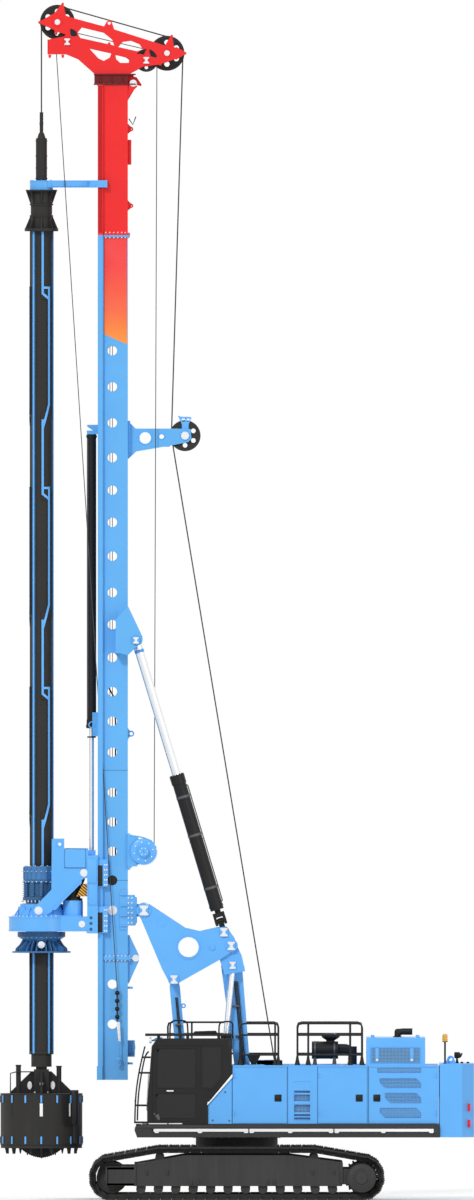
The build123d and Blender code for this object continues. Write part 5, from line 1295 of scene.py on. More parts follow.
# guide arm: rim, keeper and boss
guideAt = jointAt["guide_sheave_turn"]
armFace = 0.095
bm = bmesh.new()
sideRings(bm, band(0.115, 0.135, 0, 0.010), -1.831, armFace, 15.236, 40)
sideRings(bm, band(0.045, 0.062, 0, 0.010), -1.502, armFace, 15.263, 28)
boss = [(0.004, 0), (0.095, 0), (0.090, 0.018), (0.050, 0.022), (0.004, 0.022)]
sideRings(bm, boss, guideAt.x, armFace, guideAt.z)
sideBlocks(bm, mastRear, -2.130, armFace, armFace + 0.06, 14.95, 15.58, 0.006)
block(bm, (-2.02, -0.070, 15.404), (-1.34, 0.070, 15.424), 0.004)
block(bm, (-1.70, -0.070, 15.06), (-1.34, 0.070, 15.08), 0.004)
done("guideArmRims", bm, "mast", "blue")
keeperPlates = (
    [(-1.097, 15.416), (-0.962, 15.416), (-0.962, 15.500), (-0.940, 15.562), (-1.118, 15.562),
     (-1.097, 15.500)],
    [(-1.150, 15.622), (-0.910, 15.622), (-0.902, 15.642), (-0.950, 15.660), (-1.090, 15.660),
     (-1.180, 15.680)],
    [(-1.118, 15.558), (-1.092, 15.558), (-1.100, 15.626), (-1.155, 15.626)],
    band(-1.036, -1.000, 15.558, 15.626),
    [(-0.962, 15.558), (-0.940, 15.558), (-0.908, 15.626), (-0.938, 15.626)],
)
bm = bmesh.new()
for outline in keeperPlates:
    sideSlabs(bm, outline, 0.058, 0.070, 0.002)
bar(bm, (-1.02, -0.070, 15.638), (-1.02, 0.070, 15.638), 0.014, 12)
done("ropeKeeper", bm, "mast", "blue")
bm = bmesh.new()
for x, y in ((-2.536, -0.06), (-2.486, 0.0)):
    bar(bm, (x, y, 6.60), (x, y, 17.20), 0.007, 10)
for x0, z0, x1, z1 in ((-2.424, 6.60, -2.424, 9.56), (-2.424, 9.55, -2.456, 10.06),
                       (-2.456, 10.05, -2.560, 10.24)):
    bar(bm, (x0, 0.06, z0), (x1, 0.06, z1), 0.015, 10)
done("mastHoses", bm, "mast", "hose")
bm = bmesh.new()
sideRings(bm, [(0.002, 0), (0.082, 0), (0.078, 0.012), (0.002, 0.012)], guideAt.x, 0.117, guideAt.z)
done("guidePinCaps", bm, "mast", "pin")


def sheaveDress(name, body, radius, y, half):
    # dark wheel: raised hub, rim lips and bolts on the turning node
    at = jointAt[body + "_turn"]
    bm = bmesh.new()
    for s in (-1, 1):
        ring(bm, [(0.048, 0), (radius * 0.30, 0), (radius * 0.28, 0.012), (0.048, 0.012)],
             (at.x, y + s * half, at.z), (0, s, 0), 36)
        ring(bm, [(radius * 0.84, 0), (radius * 0.985, 0), (radius * 0.985, 0.003), (radius * 0.86, 0.006)],
             (at.x, y + s * half, at.z), (0, s, 0), 56)
        nuts(bm, circleOf((at.x, y + s * (half + 0.010), at.z), radius * 0.22, 8, "Y"), (0, s, 0), 0.012,
             0.010)
    done(name + "Dress", bm, body, "trackSteel")


for name, body, radius, y, half in (("frontSheave", "main_sheave_front", 0.350, 0.0, 0.045),
                                    ("rearSheave", "main_sheave_rear", 0.350, 0.0, 0.045),
                                    ("frontServiceSheave", "service_sheave_front", 0.230, -0.2, 0.030),
                                    ("rearServiceSheave", "service_sheave_rear", 0.230, -0.2, 0.030),
                                    ("guideSheave", "guide_sheave", 0.310, 0.0, 0.045)):
    sheaveDress(name, body, radius, y, half)

# service winch: motor, toothed ring, frame bolts
bm = bmesh.new()
caseRadius, caseAt = 0.262, (serviceAt.x, -0.365, serviceAt.z)
case = [(0.01, 0.0), (0.255, 0.0), (caseRadius, 0.015), (caseRadius, 0.05), (0.235, 0.065), (0.15, 0.075),
        (0.01, 0.080)]
ring(bm, case, caseAt, (0, -1, 0), 48)
ring(bm, [(0.01, 0.075), (0.11, 0.075), (0.105, 0.15), (0.01, 0.155)], caseAt, (0, -1, 0), 32)
for k in range(12):
    a = 1.9 * (k / 11 - 1)
    x, z = serviceAt.x + caseRadius * math.cos(a), serviceAt.z + caseRadius * math.sin(a)
    block(bm, (x - 0.014, -0.420, z - 0.014), (x + 0.014, -0.372, z + 0.014), 0.004)
done("serviceGearCase", bm, "mast", "blue")
bm = bmesh.new()
nuts(bm, circleOf((serviceAt.x, -0.435, serviceAt.z), 0.190, 8, "Y", 0.2), (0, -1, 0), 0.016, 0.016)
nuts(bm, circleOf((serviceAt.x, -0.520, serviceAt.z), 0.070, 6, "Y"), (0, -1, 0), 0.012, 0.012)
for z in (6.66, 6.74, 7.20, 7.28):
    for y in (-0.30, -0.12):
        bar(bm, (-2.128, y, z), (-2.095, y, z), 0.018, 6)
done("serviceBolts", bm, "mast", "pin")
bm = bmesh.new()
block(bm, (mastRear, -0.36, 6.60), (-2.128, -0.04, 7.33), 0.008)
slab(bm, [(-2.13, 7.30), (-1.98, 7.28), (-1.86, 7.255), (-1.70, 7.19), (-1.60, 7.05), (-1.62, 7.03),
          (-1.715, 7.165), (-1.87, 7.235), (-2.13, 7.27)], -0.33, -0.07, 0.003)
done("serviceFrame", bm, "mast", "blue")
print("mast done")


# mast head: spikes, rims, locks, box under the sheaves

headPlate = 0.290
mainFront, mainRear = jointAt["main_sheave_front_turn"], jointAt["main_sheave_rear_turn"]
auxFront, auxRear = jointAt["service_sheave_front_turn"], jointAt["service_sheave_rear_turn"]


def spike(bm, base, tip, wide, side):
    # rope keeper: narrow folded wedge from the frame past the sheave's rim, with a round eye at its tip
    base, tip = Vector((base[0], 0, base[1])), Vector((tip[0], 0, tip[1]))
    along = (tip - base).normalized()
    across = Vector((along.z, 0, -along.x)) * wide / 2
    y0, y1 = sorted((side * (headPlate + 0.004), side * (headPlate - 0.027)))
    a, b, c, d = base - across, base + across, tip + across * 0.18, tip - across * 0.18
    slab(bm, [(p.x, p.z) for p in (a, b, c, d)], y0, y1, 0.003)
    ring(bm, band(0.006, 0.024, -0.018, 0.018), (tip.x, side * (headPlate - 0.013), tip.z), (0, 1, 0), 16)


bm = bmesh.new()
for s in (-1, 1):
    for base, tip, wide in (((-3.70, 23.545), (-3.948, 23.545), 0.24),
                            ((-3.530, 23.68), (-3.480, 23.915), 0.20),
                            ((-3.60, 23.43), (-3.612, 23.325), 0.14),
                            ((-1.22, 22.93), (-1.030, 22.930), 0.26),
                            ((-1.345, 23.07), (-1.300, 23.275), 0.18),
                            ((-1.48, 22.80), (-1.530, 22.705), 0.14),
                            ((-3.385, 23.26), (-3.350, 23.405), 0.12),
                            ((-1.805, 22.88), (-1.775, 23.040), 0.12)):
        spike(bm, base, tip, wide, s)
for p, r in ((mainFront, 0.105), (mainRear, 0.085)):
    sideRings(bm, [(0.046, 0), (r, 0), (r - 0.01, 0.012), (0.046, 0.012)], p.x, headPlate, p.z, 36)
sideSlabs(bm, [(-3.785, 22.911), (-3.785, 23.198), (-3.765, 23.198), (-3.765, 22.911)], headPlate, 0.300)
for x in (-3.74, -3.48):
    sideSlabs(bm, [(x - 0.03, 22.90), (x + 0.03, 22.90), (x + 0.02, 22.84), (x - 0.02, 22.84)], 0.270,
              headPlate)
block(bm, (-3.70, -0.262, 22.92), (-3.40, 0.262, 22.95), 0.004)
block(bm, (-2.20, -0.262, 22.66), (-1.95, 0.262, 22.69), 0.004)
for x, z in ((-3.20, 23.27), (-2.55, 23.12), (-1.75, 22.72)):
    bar(bm, (x, -0.262, z), (x, 0.262, z), 0.028, 18)
slab(bm, [(-2.16, 22.32), (-2.02, 22.30), (-1.985, 22.26), (-2.05, 22.20), (-2.16, 22.06), (-2.178, 22.0)],
     -0.300, -0.275, 0.004)
slab(bm, [(-2.16, 22.49), (-2.00, 22.45), (-1.90, 22.30), (-1.92, 22.27), (-1.98, 22.29), (-2.16, 22.36)],
     0.05, 0.08, 0.004)
done("headRims", bm, "mast", "red")

# dark base box under the head with its flanges and stiffeners
bm = bmesh.new()
for z0, z1 in ((22.297, 22.322), (22.494, 22.518)):
    block(bm, (-2.86, -0.33, z0), (-2.02, 0.33, z1), 0.004)
sideBlocks(bm, -2.846, mastRear, headPlate, 0.294, 22.32, 22.50)
for x in (-2.72, -2.50, -2.28):
    sideBlocks(bm, x - 0.008, x + 0.008, headPlate, 0.325, 22.32, 22.498)
done("headBase", bm, "mast", "headShade")
bm = bmesh.new()
block(bm, (-2.180, -0.22, 22.322), (-2.062, 0.22, 22.508), 0.003)
block(bm, (-2.180, -0.24, 22.496), (-2.020, 0.24, 22.512), 0.002)
done("headBackBox", bm, "mast", "darkRed")

# painted shade over the open gaps where the small sheaves show above the lower arm, as thin black sheets;
# then the sheaves' guards
bm = bmesh.new()
frontShade = [(-3.330, 23.425), (-3.270, 23.405), (-3.208, 23.362), (-3.186, 23.280), (-3.250, 23.262),
              (-3.330, 23.276)]
rearShade = [(x, z) for x, _, z in wrap(auxRear, 0.228, 20, 146, 15, 0)]
rearShade += [(-1.99, 22.930), (-1.80, 22.885), (-1.62, 22.840)]
# black sheets standing in for the shade in the open gaps, not parts of the sheaves
for outline in (frontShade, rearShade):
    sideSlabs(bm, outline, 0.2890, 0.2925)
done("smallSheaveGapShade", bm, "mast", "black", "red")
bm = bmesh.new()
for outline in ([(-3.405, 23.250), (-3.356, 23.300), (-3.341, 23.425), (-3.326, 23.300), (-3.285, 23.245)],
                [(-1.850, 22.850), (-1.790, 22.930), (-1.762, 23.060), (-1.745, 22.950), (-1.720, 22.850)]):
    sideSlabs(bm, outline, 0.2885, 0.296)
done("smallSheaveGuards", bm, "mast", "red")
bm = bmesh.new()
for p in (mainFront, mainRear):
    sideRings(bm, [(0.002, 0), (0.058, 0), (0.054, 0.012), (0.002, 0.014)], p.x, 0.306, p.z)
sideRings(bm, [(0.002, 0), (0.072, 0), (0.068, 0.014), (0.002, 0.016)], -2.070, 0.300, 22.328)
done("headPinCaps", bm, "mast", "pin")
heads, locks = bmesh.new(), bmesh.new()
for s in (-1, 1):
    for p in (auxFront, auxRear):
        pinHead(heads, locks, p.x, p.z, s * 0.304, s, 0.062)
done("headPinRounds", heads, "mast", "red")
done("headPinLocks", locks, "mast", "pin")
bm = bmesh.new()
for s in (-1, 1):
    for z in (22.284, 22.322):
        nuts(bm, lineOf((-2.78, s * 0.31, z), (-2.30, s * 0.31, z), 5), (0, 0, 1), 0.015, 0.012)
done("headBolts", bm, "mast", "steel")


# kelly bar: drive keys with lock pockets, head plates, swivel

kellyX = jointAt["kelly_turn"].x
kellyTrim = {"face": 0.247, "wide": 0.046, "foot": 2.93, "head": 19.36, "straight": -130, "stepped": -84,
             "locked": -52, "pockets": (18.014, 14.010, 10.010, 6.010), "tall": 0.250, "reach": 2.260}


def collar(bm, profile, z, steps):
    # turned shape round the drill string's axis
    ring(bm, profile, (kellyX, 0, z), (0, 0, 1), steps)


def boltCircle(bm, z, radius, count, way, size, height):
    # bolt heads round the drill string's axis, upwards (1) or downwards (-1)
    nuts(bm, circleOf((kellyX, 0, z), radius, count), (0, 0, way), size, height)


def keyStrip(bm, first, last, r):
    # blue running face laid on the tube between two (degrees, height) spots
    a, b = (Vector((math.radians(turn) * r, z)) for turn, z in (first, last))
    side = (b - a).orthogonal().normalized() * kellyTrim["wide"] / 2
    count = 1 + int(abs(b.x - a.x) / 0.02)
    rows = []
    for i in range(count + 1):
        p = a.lerp(b, i / count)
        rows.append([bm.verts.new((kellyX + r * math.cos(q.x / r), r * math.sin(q.x / r), q.y))
                     for q in (p + side, p - side)])
    faces = [bm.faces.new((*low, *reversed(high))) for low, high in zip(rows, rows[1:])]
    grown = bmesh.ops.extrude_face_region(bm, geom=faces)
    for v in grown["geom"]:
        if isinstance(v, bmesh.types.BMVert):
            v.co -= Vector((v.co.x - kellyX, v.co.y, 0)).normalized() * 0.005


bm = bmesh.new()
for third in (0, 120, 240):
    straight, stepped, locked = (kellyTrim[key] + third for key in ("straight", "stepped", "locked"))
    keyStrip(bm, (straight, kellyTrim["foot"]), (straight, kellyTrim["head"]), kellyTrim["face"])
    top = kellyTrim["head"]
    for pocket in kellyTrim["pockets"]:
        upper, lower, back = pocket + kellyTrim["tall"], pocket + 0.03, pocket - kellyTrim["reach"]
        keyStrip(bm, (stepped, top), (stepped, lower + 0.06), kellyTrim["face"])
        last = pocket == kellyTrim["pockets"][-1]
        keyStrip(bm, (locked, upper), (locked, kellyTrim["foot"] if last else back + 0.13), kellyTrim["face"])
        keyStrip(bm, (stepped, upper - 0.024), (locked, upper - 0.024), kellyTrim["face"] - 0.001)
        keyStrip(bm, (stepped, lower + 0.08), (locked, lower - 0.03), kellyTrim["face"] - 0.001)
        if not last:
            keyStrip(bm, (locked, back + 0.15), (stepped, back - 0.33), kellyTrim["face"] - 0.001)
        top = back - 0.148
done("kellyKeyFaces", bm, "outer_kelly", "blue")

# shaded flanks of the keys
bm = bmesh.new()
flank = template(lambda small: block(small, (0.212, -0.002, kellyTrim["foot"]),
                                     (0.240, 0.002, kellyTrim["head"])))
for third in (0, 120, 240):
    for turn in (-7.5, 7.5):
        stamp(bm, flank, turned(math.radians(kellyTrim["straight"] + third + turn), kellyX))
done("kellyKeyFlanks", bm, "outer_kelly", "deepBlue")
bm = bmesh.new()
collar(bm, [(0.205, 0), (0.30, 0), (0.315, 0.008), (0.315, 0.030), (0.205, 0.030)], 20.168, 48)
for z in (19.89, 19.66):
    collar(bm, [(0.210, 0), (0.236, 0), (0.236, 0.03), (0.210, 0.04)], z, 48)
collar(bm, [(0.210, 0), (0.240, 0), (0.240, 0.06), (0.210, 0.07)], 2.915, 48)
boltCircle(bm, 19.432, 0.285, 16, 1, 0.014, 0.014)
boltCircle(bm, 20.168, 0.270, 16, -1, 0.012, 0.012)
done("kellyCollars", bm, "outer_kelly", "kellyDark")
bm = bmesh.new()
for z, r in ((20.41, 0.120), (20.62, 0.118), (20.86, 0.118), (21.16, 0.118)):
    collar(bm, [(0.100, 0), (r, 0), (r, 0.028), (0.100, 0.034)], z, 36)
collar(bm, [(0.030, 0), (0.085, 0), (0.060, 0.09), (0.040, 0.12), (0.030, 0.12)], 21.225, 32)
collar(bm, [(0.020, 0), (0.040, 0), (0.040, 0.05), (0.020, 0.055)], 21.50, 24)
collar(bm, [(0.004, 0), (0.037, 0), (0.030, 0.03), (0.004, 0.036)], 21.715, 24)
done("kellySwivel", bm, "inner_kelly", "trackSteel")
bm = bmesh.new()
collar(bm, [(0.120, 0), (0.232, 0), (0.238, 0.012), (0.238, 0.03), (0.120, 0.034)], 20.352, 48)
boltCircle(bm, 20.384, 0.20, 12, 1, 0.012, 0.012)
sideSlabs(bm, band(-3.70, -2.98, 20.262, 20.368), 0.190, 0.205, 0.003)
sideBars(bm, -2.86, 0.440, 0.452, 20.315, 0.045)
done("kellyGuideTrim", bm, "kelly_guide", "blue")

# rotary head: covers, spring unit, bolts, motors, hazard stripes

rotaryTop, rotaryLow, rotarySide = 5.665, 5.370, 0.520
bm = bmesh.new()
collar(bm, [(0.60, 0), (0.655, 0), (0.658, 0.01), (0.658, 0.03), (0.60, 0.034)], rotaryTop - 0.03, 72)
collar(bm, [(0.60, 0), (0.658, 0), (0.658, 0.03), (0.60, 0.034)], rotaryLow, 72)
collar(bm, [(0.40, 0), (0.52, 0), (0.50, 0.07), (0.43, 0.15), (0.40, 0.15)], rotaryTop - 0.005, 60)
collar(bm, [(0.385, 0), (0.430, 0), (0.430, 0.10), (0.385, 0.12)], rotaryTop + 0.14, 60)
brace = [(0.42, 0), (0.56, 0), (0.54, 0.04), (0.44, 0.19), (0.42, 0.19)]
allRound(bm, lambda small: slab(small, brace, -0.008, 0.008), 12, kellyX, rotaryTop - 0.002)
cover = [(-3.438, 6.655), (-3.390, 6.646), (-3.024, 6.646), (-3.024, 7.010), (-3.400, 7.022), (-3.438, 6.990)]
rib = [(-3.70, 5.80), (-3.58, 5.94), (-3.10, 6.40), (-3.10, 6.34), (-3.50, 5.94), (-3.62, 5.80)]
sideBlocks(bm, -3.30, -2.99, rotarySide, rotarySide + 0.008, rotaryLow, rotaryLow + 0.03)
for s in (-1, 1):
    y0 = min(s * rotarySide, s * (rotarySide + 0.008))
    slab(bm, cover, y0, s * 0.534, 0.004)
    slab(bm, rib, y0, s * 0.530, 0.003)
sideRings(bm, [(0.034, 0), (0.060, 0), (0.056, 0.012), (0.034, 0.012)], -3.542, rotarySide, 7.110)
sideBlocks(bm, -2.990, -2.800, rotarySide, rotarySide + 0.020, 6.34, 6.82, 0.006)
sideBlocks(bm, -2.960, -2.790, rotarySide, rotarySide + 0.020, 5.90, 6.30, 0.006)
sideBlocks(bm, -3.68, -3.10, 0.30, 0.505, 5.655, 5.69, 0.006)
block(bm, (-4.366, -0.30, 5.66), (-4.350, 0.30, 5.86), 0.003)
block(bm, (-4.24, -0.26, 5.66), (-4.175, 0.26, 5.80), 0.01)
done("rotaryCovers", bm, "rotary_head", "blue")
bm = bmesh.new()
shadow = [(-3.446, 6.640), (-3.385, 6.632), (-3.016, 6.632), (-3.016, 7.018), (-3.400, 7.032),
          (-3.446, 6.998)]
sideSlabs(bm, shadow, rotarySide + 0.0005, rotarySide + 0.0065)
for z in (5.414, 5.530, 5.642):
    sideRings(bm, band(0.002, 0.032, 0, 0.003), -2.914, rotarySide + 0.0005, z, 24)
block(bm, (-3.656, -0.5225, 5.38), (-3.646, 0.5225, 5.655))
done("rotaryShadowGaps", bm, "rotary_head", "deepBlue")
bm = bmesh.new()
for z0, z1 in ((6.274, 6.690), (5.348, 5.748)):
    sideBlocks(bm, -2.782, -2.682, 0.394, 0.453, z0, z1, 0.006)
done("railShoes", bm, "rotary_head", "rubber")
bm = bmesh.new()
for z in (6.30, 6.40, 6.50, 6.60, 6.70, 5.38, 5.48, 5.58, 5.68, 5.80):
    for x in (-2.640, -2.600):
        sideBars(bm, x, 0.440, 0.456, z, 0.017, 6)
for x, z, r in ((-3.054, 6.540, 0.080), (-3.962, 5.784, 0.084), (-3.096, 5.514, 0.070)):
    sideRings(bm, [(0.002, 0), (r, 0), (r - 0.006, 0.014), (0.002, 0.018)], x, rotarySide, z, 36)
boltCircle(bm, rotaryTop + 0.002, 0.575, 36, 1, 0.018, 0.018)
boltCircle(bm, 6.564, 0.390, 24, 1, 0.012, 0.012)
done("rotaryPins", bm, "rotary_head", "pin")
reducer = [(0.01, 0), (0.199, 0), (0.199, 0.30), (0.185, 0.335), (0.145, 0.35), (0.01, 0.35)]
motor = [(0.01, 0), (0.150, 0), (0.150, 0.10), (0.128, 0.12), (0.128, 0.25), (0.10, 0.29), (0.01, 0.30)]
motorX, motorY = -3.277, 0.235
bm = bmesh.new()
for y in (-motorY, motorY):
    ring(bm, reducer, (motorX, y, rotaryTop), (0, 0, 1), 40)
done("motorReducers", bm, "rotary_head", "blue")
bm = bmesh.new()
for y in (-motorY, motorY):
    ring(bm, motor, (motorX, y, 6.015), (0, 0, 1), 32)
    block(bm, (-3.36, y - 0.07, 6.10), (-3.13, y + 0.07, 6.24), 0.015)
    nuts(bm, circleOf((motorX, y, 6.012), 0.172, 14), (0, 0, 1), 0.012, 0.014)
done("motorHousings", bm, "rotary_head", "black")
bm = bmesh.new()
sideSlabs(bm, [(-3.206, 6.070), (-2.986, 6.070), (-2.986, 6.318), (-3.080, 6.318)], 0.455, 0.469)
done("hazardPlate", bm, "rotary_head", "hazard")
motorHoses = ([(-3.20, 0.235, 6.20), (-3.08, 0.235, 6.30), (-3.03, 0.20, 6.55), (-3.02, 0.18, 6.90)],
              [(-3.20, 0.19, 6.16), (-3.10, 0.19, 6.25), (-3.05, 0.14, 6.55), (-3.04, 0.12, 6.85)])
tubing("motorHoses", [[(x, s * y, z) for x, y, z in run] for run in motorHoses for s in (-1, 1)],
       0.020, "rotary_head", "hose", bend=1)

# spring unit and drive flange turn together; their darker blue paint is painted shade
bm = bmesh.new()
collar(bm, [(0.262, 0), (0.340, 0), (0.354, 0.012), (0.354, 0.27), (0.340, 0.282), (0.262, 0.282)], 6.390, 56)
collar(bm, [(0.300, 0), (0.372, 0), (0.372, 0.025), (0.300, 0.030)], 6.362, 56)
allRound(bm, lambda small: block(small, (0.350, -0.006, 6.40), (0.366, 0.006, 6.655)), 20, kellyX)
done("springDrum", bm, "drive_sleeve", "shadedMidBlue")
bm = bmesh.new()
for x, y, _ in circleOf((kellyX, 0, 0), 0.338, 12):
    bar(bm, (x, y, 6.06), (x, y, 6.37), 0.012, 10)
    for turn in range(8):
        ring(bm, band(0.026, 0.040, -0.007, 0.007), (x, y, 6.085 + 0.037 * turn), (0, 0, 1), 12)
done("springUnit", bm, "drive_sleeve", "shadedMidBlue")
bm = bmesh.new()
boltCircle(bm, 6.672, 0.318, 16, 1, 0.014, 0.014)
boltCircle(bm, 6.372, 0.362, 24, -1, 0.014, 0.022)
boltCircle(bm, 5.95, 0.395, 30, 1, 0.013, 0.040)
boltCircle(bm, 5.262, 0.440, 28, -1, 0.017, 0.018)
done("springBolts", bm, "drive_sleeve", "pin", "steel")
bm = bmesh.new()
collar(bm, [(0.312, 0), (0.325, 0), (0.345, 0.02), (0.470, 0.10), (0.478, 0.115), (0.478, 0.20),
            (0.312, 0.20)], 5.160, 64)
collar(bm, [(0.312, 0.03), (0.312, 0.0), (0.585, 0), (0.590, 0.010), (0.590, 0.020), (0.540, 0.030)], 4.946,
       64)
web = [(0.31, 4.97), (0.535, 4.97), (0.525, 5.03), (0.345, 5.20), (0.31, 5.20)]
allRound(bm, lambda small: slab(small, web, -0.008, 0.008), 16, kellyX, start=0.5)
done("driveFlange", bm, "drive_sleeve", "shadedMidBlue")
bm = bmesh.new()
sideBars(bm, kellyX, 0.30, 0.44, 5.101, 0.072, 32, 0.006)
done("drivePin", bm, "drive_sleeve", "pin", "steel")


# bucket: wear strips, rims, gussets, hinge tube, teeth

bucketTrim = {"radius": 0.818, "top": 2.130, "low": 1.098, "strips": 16}
b = bucketTrim
bm = bmesh.new()
for i in range(b["strips"]):
    a = math.tau * i / b["strips"]
    out = b["radius"] + (0.0158 if i in (0, 8) else 0.0190)
    for z0, z1 in ((b["top"] - 0.185, b["top"] - 0.035), (b["low"] + 0.025, b["low"] + 0.175)):
        strip = template(lambda small: block(small, (b["radius"] + 0.010, -0.018, z0), (out, 0.018, z1),
                                             0.003, 1))
        stamp(bm, strip, turned(a, kellyX))
done("bucketWearFaces", bm, "inner_kelly", "blue")
bm = bmesh.new()
for z in (b["top"] - 0.020, b["low"]):
    collar(bm, [(b["radius"] - 0.01, 0), (b["radius"] + 0.006, 0), (b["radius"] + 0.006, 0.020),
                (b["radius"] - 0.01, 0.020)], z, 72)
for x, up in ((-0.46, 0.540), (0.35, 0.520)):
    ring(bm, band(0.035, 0.058, 0, 0.03), (kellyX + x, 0, b["top"] + up), (0, 0, 1), 24)
handle = [(kellyX + x, -0.10, b["top"] + up) for x, up in ((-0.62, 0), (-0.62, 0.40), (-0.50, 0.43),
                                                           (-0.16, 0.43))]
tubing("bucketHandle", [handle], 0.012, "inner_kelly", "kellyDark", "steel")
done("bucketFittings", bm, "inner_kelly", "kellyDark", "steel")


def onShell(bm, degrees, wide, z0, z1, proud):
    # upright strip lying on the bucket's shell at an angle
    strip = template(lambda small: block(small, (b["radius"] - 0.006, -wide / 2, z0),
                                         (b["radius"] + proud, wide / 2, z1)))
    stamp(bm, strip, turned(math.radians(degrees), kellyX))


bm = bmesh.new()
gusset = [(0.152, 0.004), (0.618, 0.004), (0.618, 0.030), (0.199, 0.439), (0.152, 0.439)]
allRound(bm, lambda small: slab(small, gusset, -0.0225, 0.0225), 4, kellyX, b["top"])
for s in (-1, 1):
    x, y = kellyX + 0.655, s * 0.50
    bar(bm, (x, y, b["top"] - 0.62), (x, y, b["top"] + 0.06), 0.086, 32, edge=0.006)
    bar(bm, (x, y, b["low"] + 0.04), (x, y, b["top"] - 0.61), 0.052, 24)
    for degrees in (48, 51.5, 55, 58.5):
        onShell(bm, s * degrees, 0.052, b["top"] - 0.62, b["top"] - 0.03, 0.004)
    onShell(bm, s * 50, 0.16, b["top"] - 0.66, b["top"] - 0.60, 0.012)
    onShell(bm, s * 135.6, 0.020, b["top"] - 0.46, b["top"] - 0.20, 0.003)
done("bucketHinges", bm, "inner_kelly", "black", "steel")
bm = bmesh.new()
for degrees, wide in ((-90, 0.060), (90, 0.060), (-46.4, 0.034), (46.4, 0.034)):
    onShell(bm, degrees, wide, b["top"] - 0.455, b["top"] - 0.195, 0.006)
for x in (-0.236, 0.226):
    window = [(kellyX + x + 0.045 * math.cos(t), b["top"] + 0.16 + 0.082 * math.sin(t))
              for t in (math.tau * i / 24 for i in range(24))]
    slab(bm, window, -0.0245, 0.0245)
sideBars(bm, kellyX, 0.146, 0.156, b["top"] + 0.19, 0.036)
for x in (-0.135, 0.130):
    sideBars(bm, kellyX + x, 0.146, 0.154, b["top"] + 0.022, 0.015, 16)
done("bucketWindows", bm, "inner_kelly", "white")
bm = bmesh.new()
toothSide = [(-0.040, 0), (0.040, 0), (0.016, -0.12), (-0.004, -0.12)]
tooth = template(lambda small: slab(small, toothSide, -0.03, 0.03, 0.004))
for i, (x, y, z) in enumerate(circleOf((kellyX, 0, b["low"] - 0.055), 0.68, 10)):
    stamp(bm, tooth, turned(math.tau * i / 10 + math.pi / 2, x, z, y))
edge = [(x / 50, b["low"] - 0.262 + 0.22 * (x / 23) ** 2 + 0.012 * (x % 2)) for x in range(-22, 23)]
bladeSide = [(-0.46, b["low"] - 0.05)] + edge + [(0.46, b["low"] - 0.05)]
blade = template(lambda small: slab(small, bladeSide, -0.022, 0.022))
for turn in (0, 1):
    stamp(bm, blade, turned(math.pi / 2 * turn, kellyX))
collar(bm, band(0.50, 0.812, -0.062, -0.004), b["low"], 64)
done("bucketTeeth", bm, "bucket_base", "trackSteel")
print("rotary, kelly and bucket done")


# ropes: main fall, run over the head, winch span, service line with its weights

ropeTrim = {"main": 0.014, "aux": 0.009, "auxY": -0.2}
wrapMain = 0.320
wrapGuide = 0.272
frontTan, rearTan = kellyX, mainRear.x + wrapMain
slope = math.degrees(math.atan2(mainRear.z - mainFront.z, mainRear.x - mainFront.x))
overHead = wrap(mainFront, wrapMain, 180, 90 + slope, 16, 0.0) + wrap(mainRear, wrapMain, 90 + slope, 0, 14,
                                                                      0.0)
underGuide = wrap(guideAt, wrapGuide, 178.5, 189.5, 4, 0.0)
headRun = [(frontTan, 0, mainFront.z)] + overHead[1:] + [(rearTan, 0, mainRear.z)] + underGuide
tubing("mainRopeHead", [headRun], ropeTrim["main"], "mast", "rope", sides=3)
fall = tubing("mainRopeFall", [[(frontTan, 0, z) for z in (mainFront.z, 22.9, 22.2, 21.74)]],
              ropeTrim["main"], None, "rope", sides=3)
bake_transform(fall)
spanTop = Vector(underGuide[-1])
spanLow = Vector((0.868, 0, 2.09))
span = tubing("mainRopeSpan", [lineOf(spanTop, spanLow, 3)], ropeTrim["main"], "mast", "rope", sides=3)
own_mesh(span)
auxY = ropeTrim["auxY"]
wrapAux = 0.212
auxSlope = math.degrees(math.atan2(auxRear.z - auxFront.z, auxRear.x - auxFront.x))
blockTop = (-2.388, -0.400, 4.180)
auxRun = [(serviceAt.x + 0.21, auxY, serviceAt.z), (auxRear.x + wrapAux, auxY, auxRear.z)]
auxRun += wrap(auxRear, wrapAux, 0, 90 + auxSlope, 10, auxY) + wrap(auxFront, wrapAux, 90 + auxSlope, 180, 10,
                                                                    auxY)
auxRun += [(auxFront.x - wrapAux, -0.21, auxFront.z - 0.3), blockTop]
tubing("serviceRope", [auxRun], ropeTrim["aux"], "mast", "rope", sides=3)
weight = [(0.003, -0.048), (0.030, -0.040), (0.045, -0.018), (0.048, 0), (0.045, 0.018), (0.030, 0.040),
          (0.003, 0.048)]
bm = bmesh.new()
for z in (4.14, 3.98, 3.82, 3.66):
    ring(bm, weight, (-2.39, -0.42, z), (0, 0, 1), 20)
bar(bm, (-2.39, -0.42, 3.58), (-2.39, -0.42, 4.19), 0.014, 12)
done("serviceWeights", bm, "mast", "black")
bm = bmesh.new()
slab(bm, [(-2.365, 3.170), (-2.318, 3.170), (-2.335, 3.560), (-2.392, 3.560), (-2.400, 3.50)], -0.445, -0.425,
     0.004)
nuts(bm, [(-2.345, -0.445, z) for z in (3.22, 3.32, 3.42, 3.52)], (0, -1, 0), 0.016, 0.014)
done("servicePlate", bm, "mast", "pin")
bm = bmesh.new()
bar(bm, (-2.352, -0.425, 2.84), (-2.345, -0.425, 3.18), 0.010, 12)
block(bm, (-2.395, -0.455, 2.775), (-2.320, -0.395, 2.850), 0.010)
bar(bm, (-2.410, -0.425, 2.81), (-2.300, -0.425, 2.81), 0.018, 12)
ring(bm, band(0.024, 0.044, -0.014, 0.014), (-2.358, -0.425, 2.735), (0, 1, 0), 24)
done("serviceHook", bm, "mast", "blue", "steel")
bm = bmesh.new()
block(bm, (-2.375, -0.42, 4.16), (-2.345, -0.296, 4.20), 0.004)
block(bm, (-2.37, -0.40, 2.79), (-2.33, -0.29, 2.83), 0.004)
done("serviceBrackets", bm, "mast", "mastBlue")

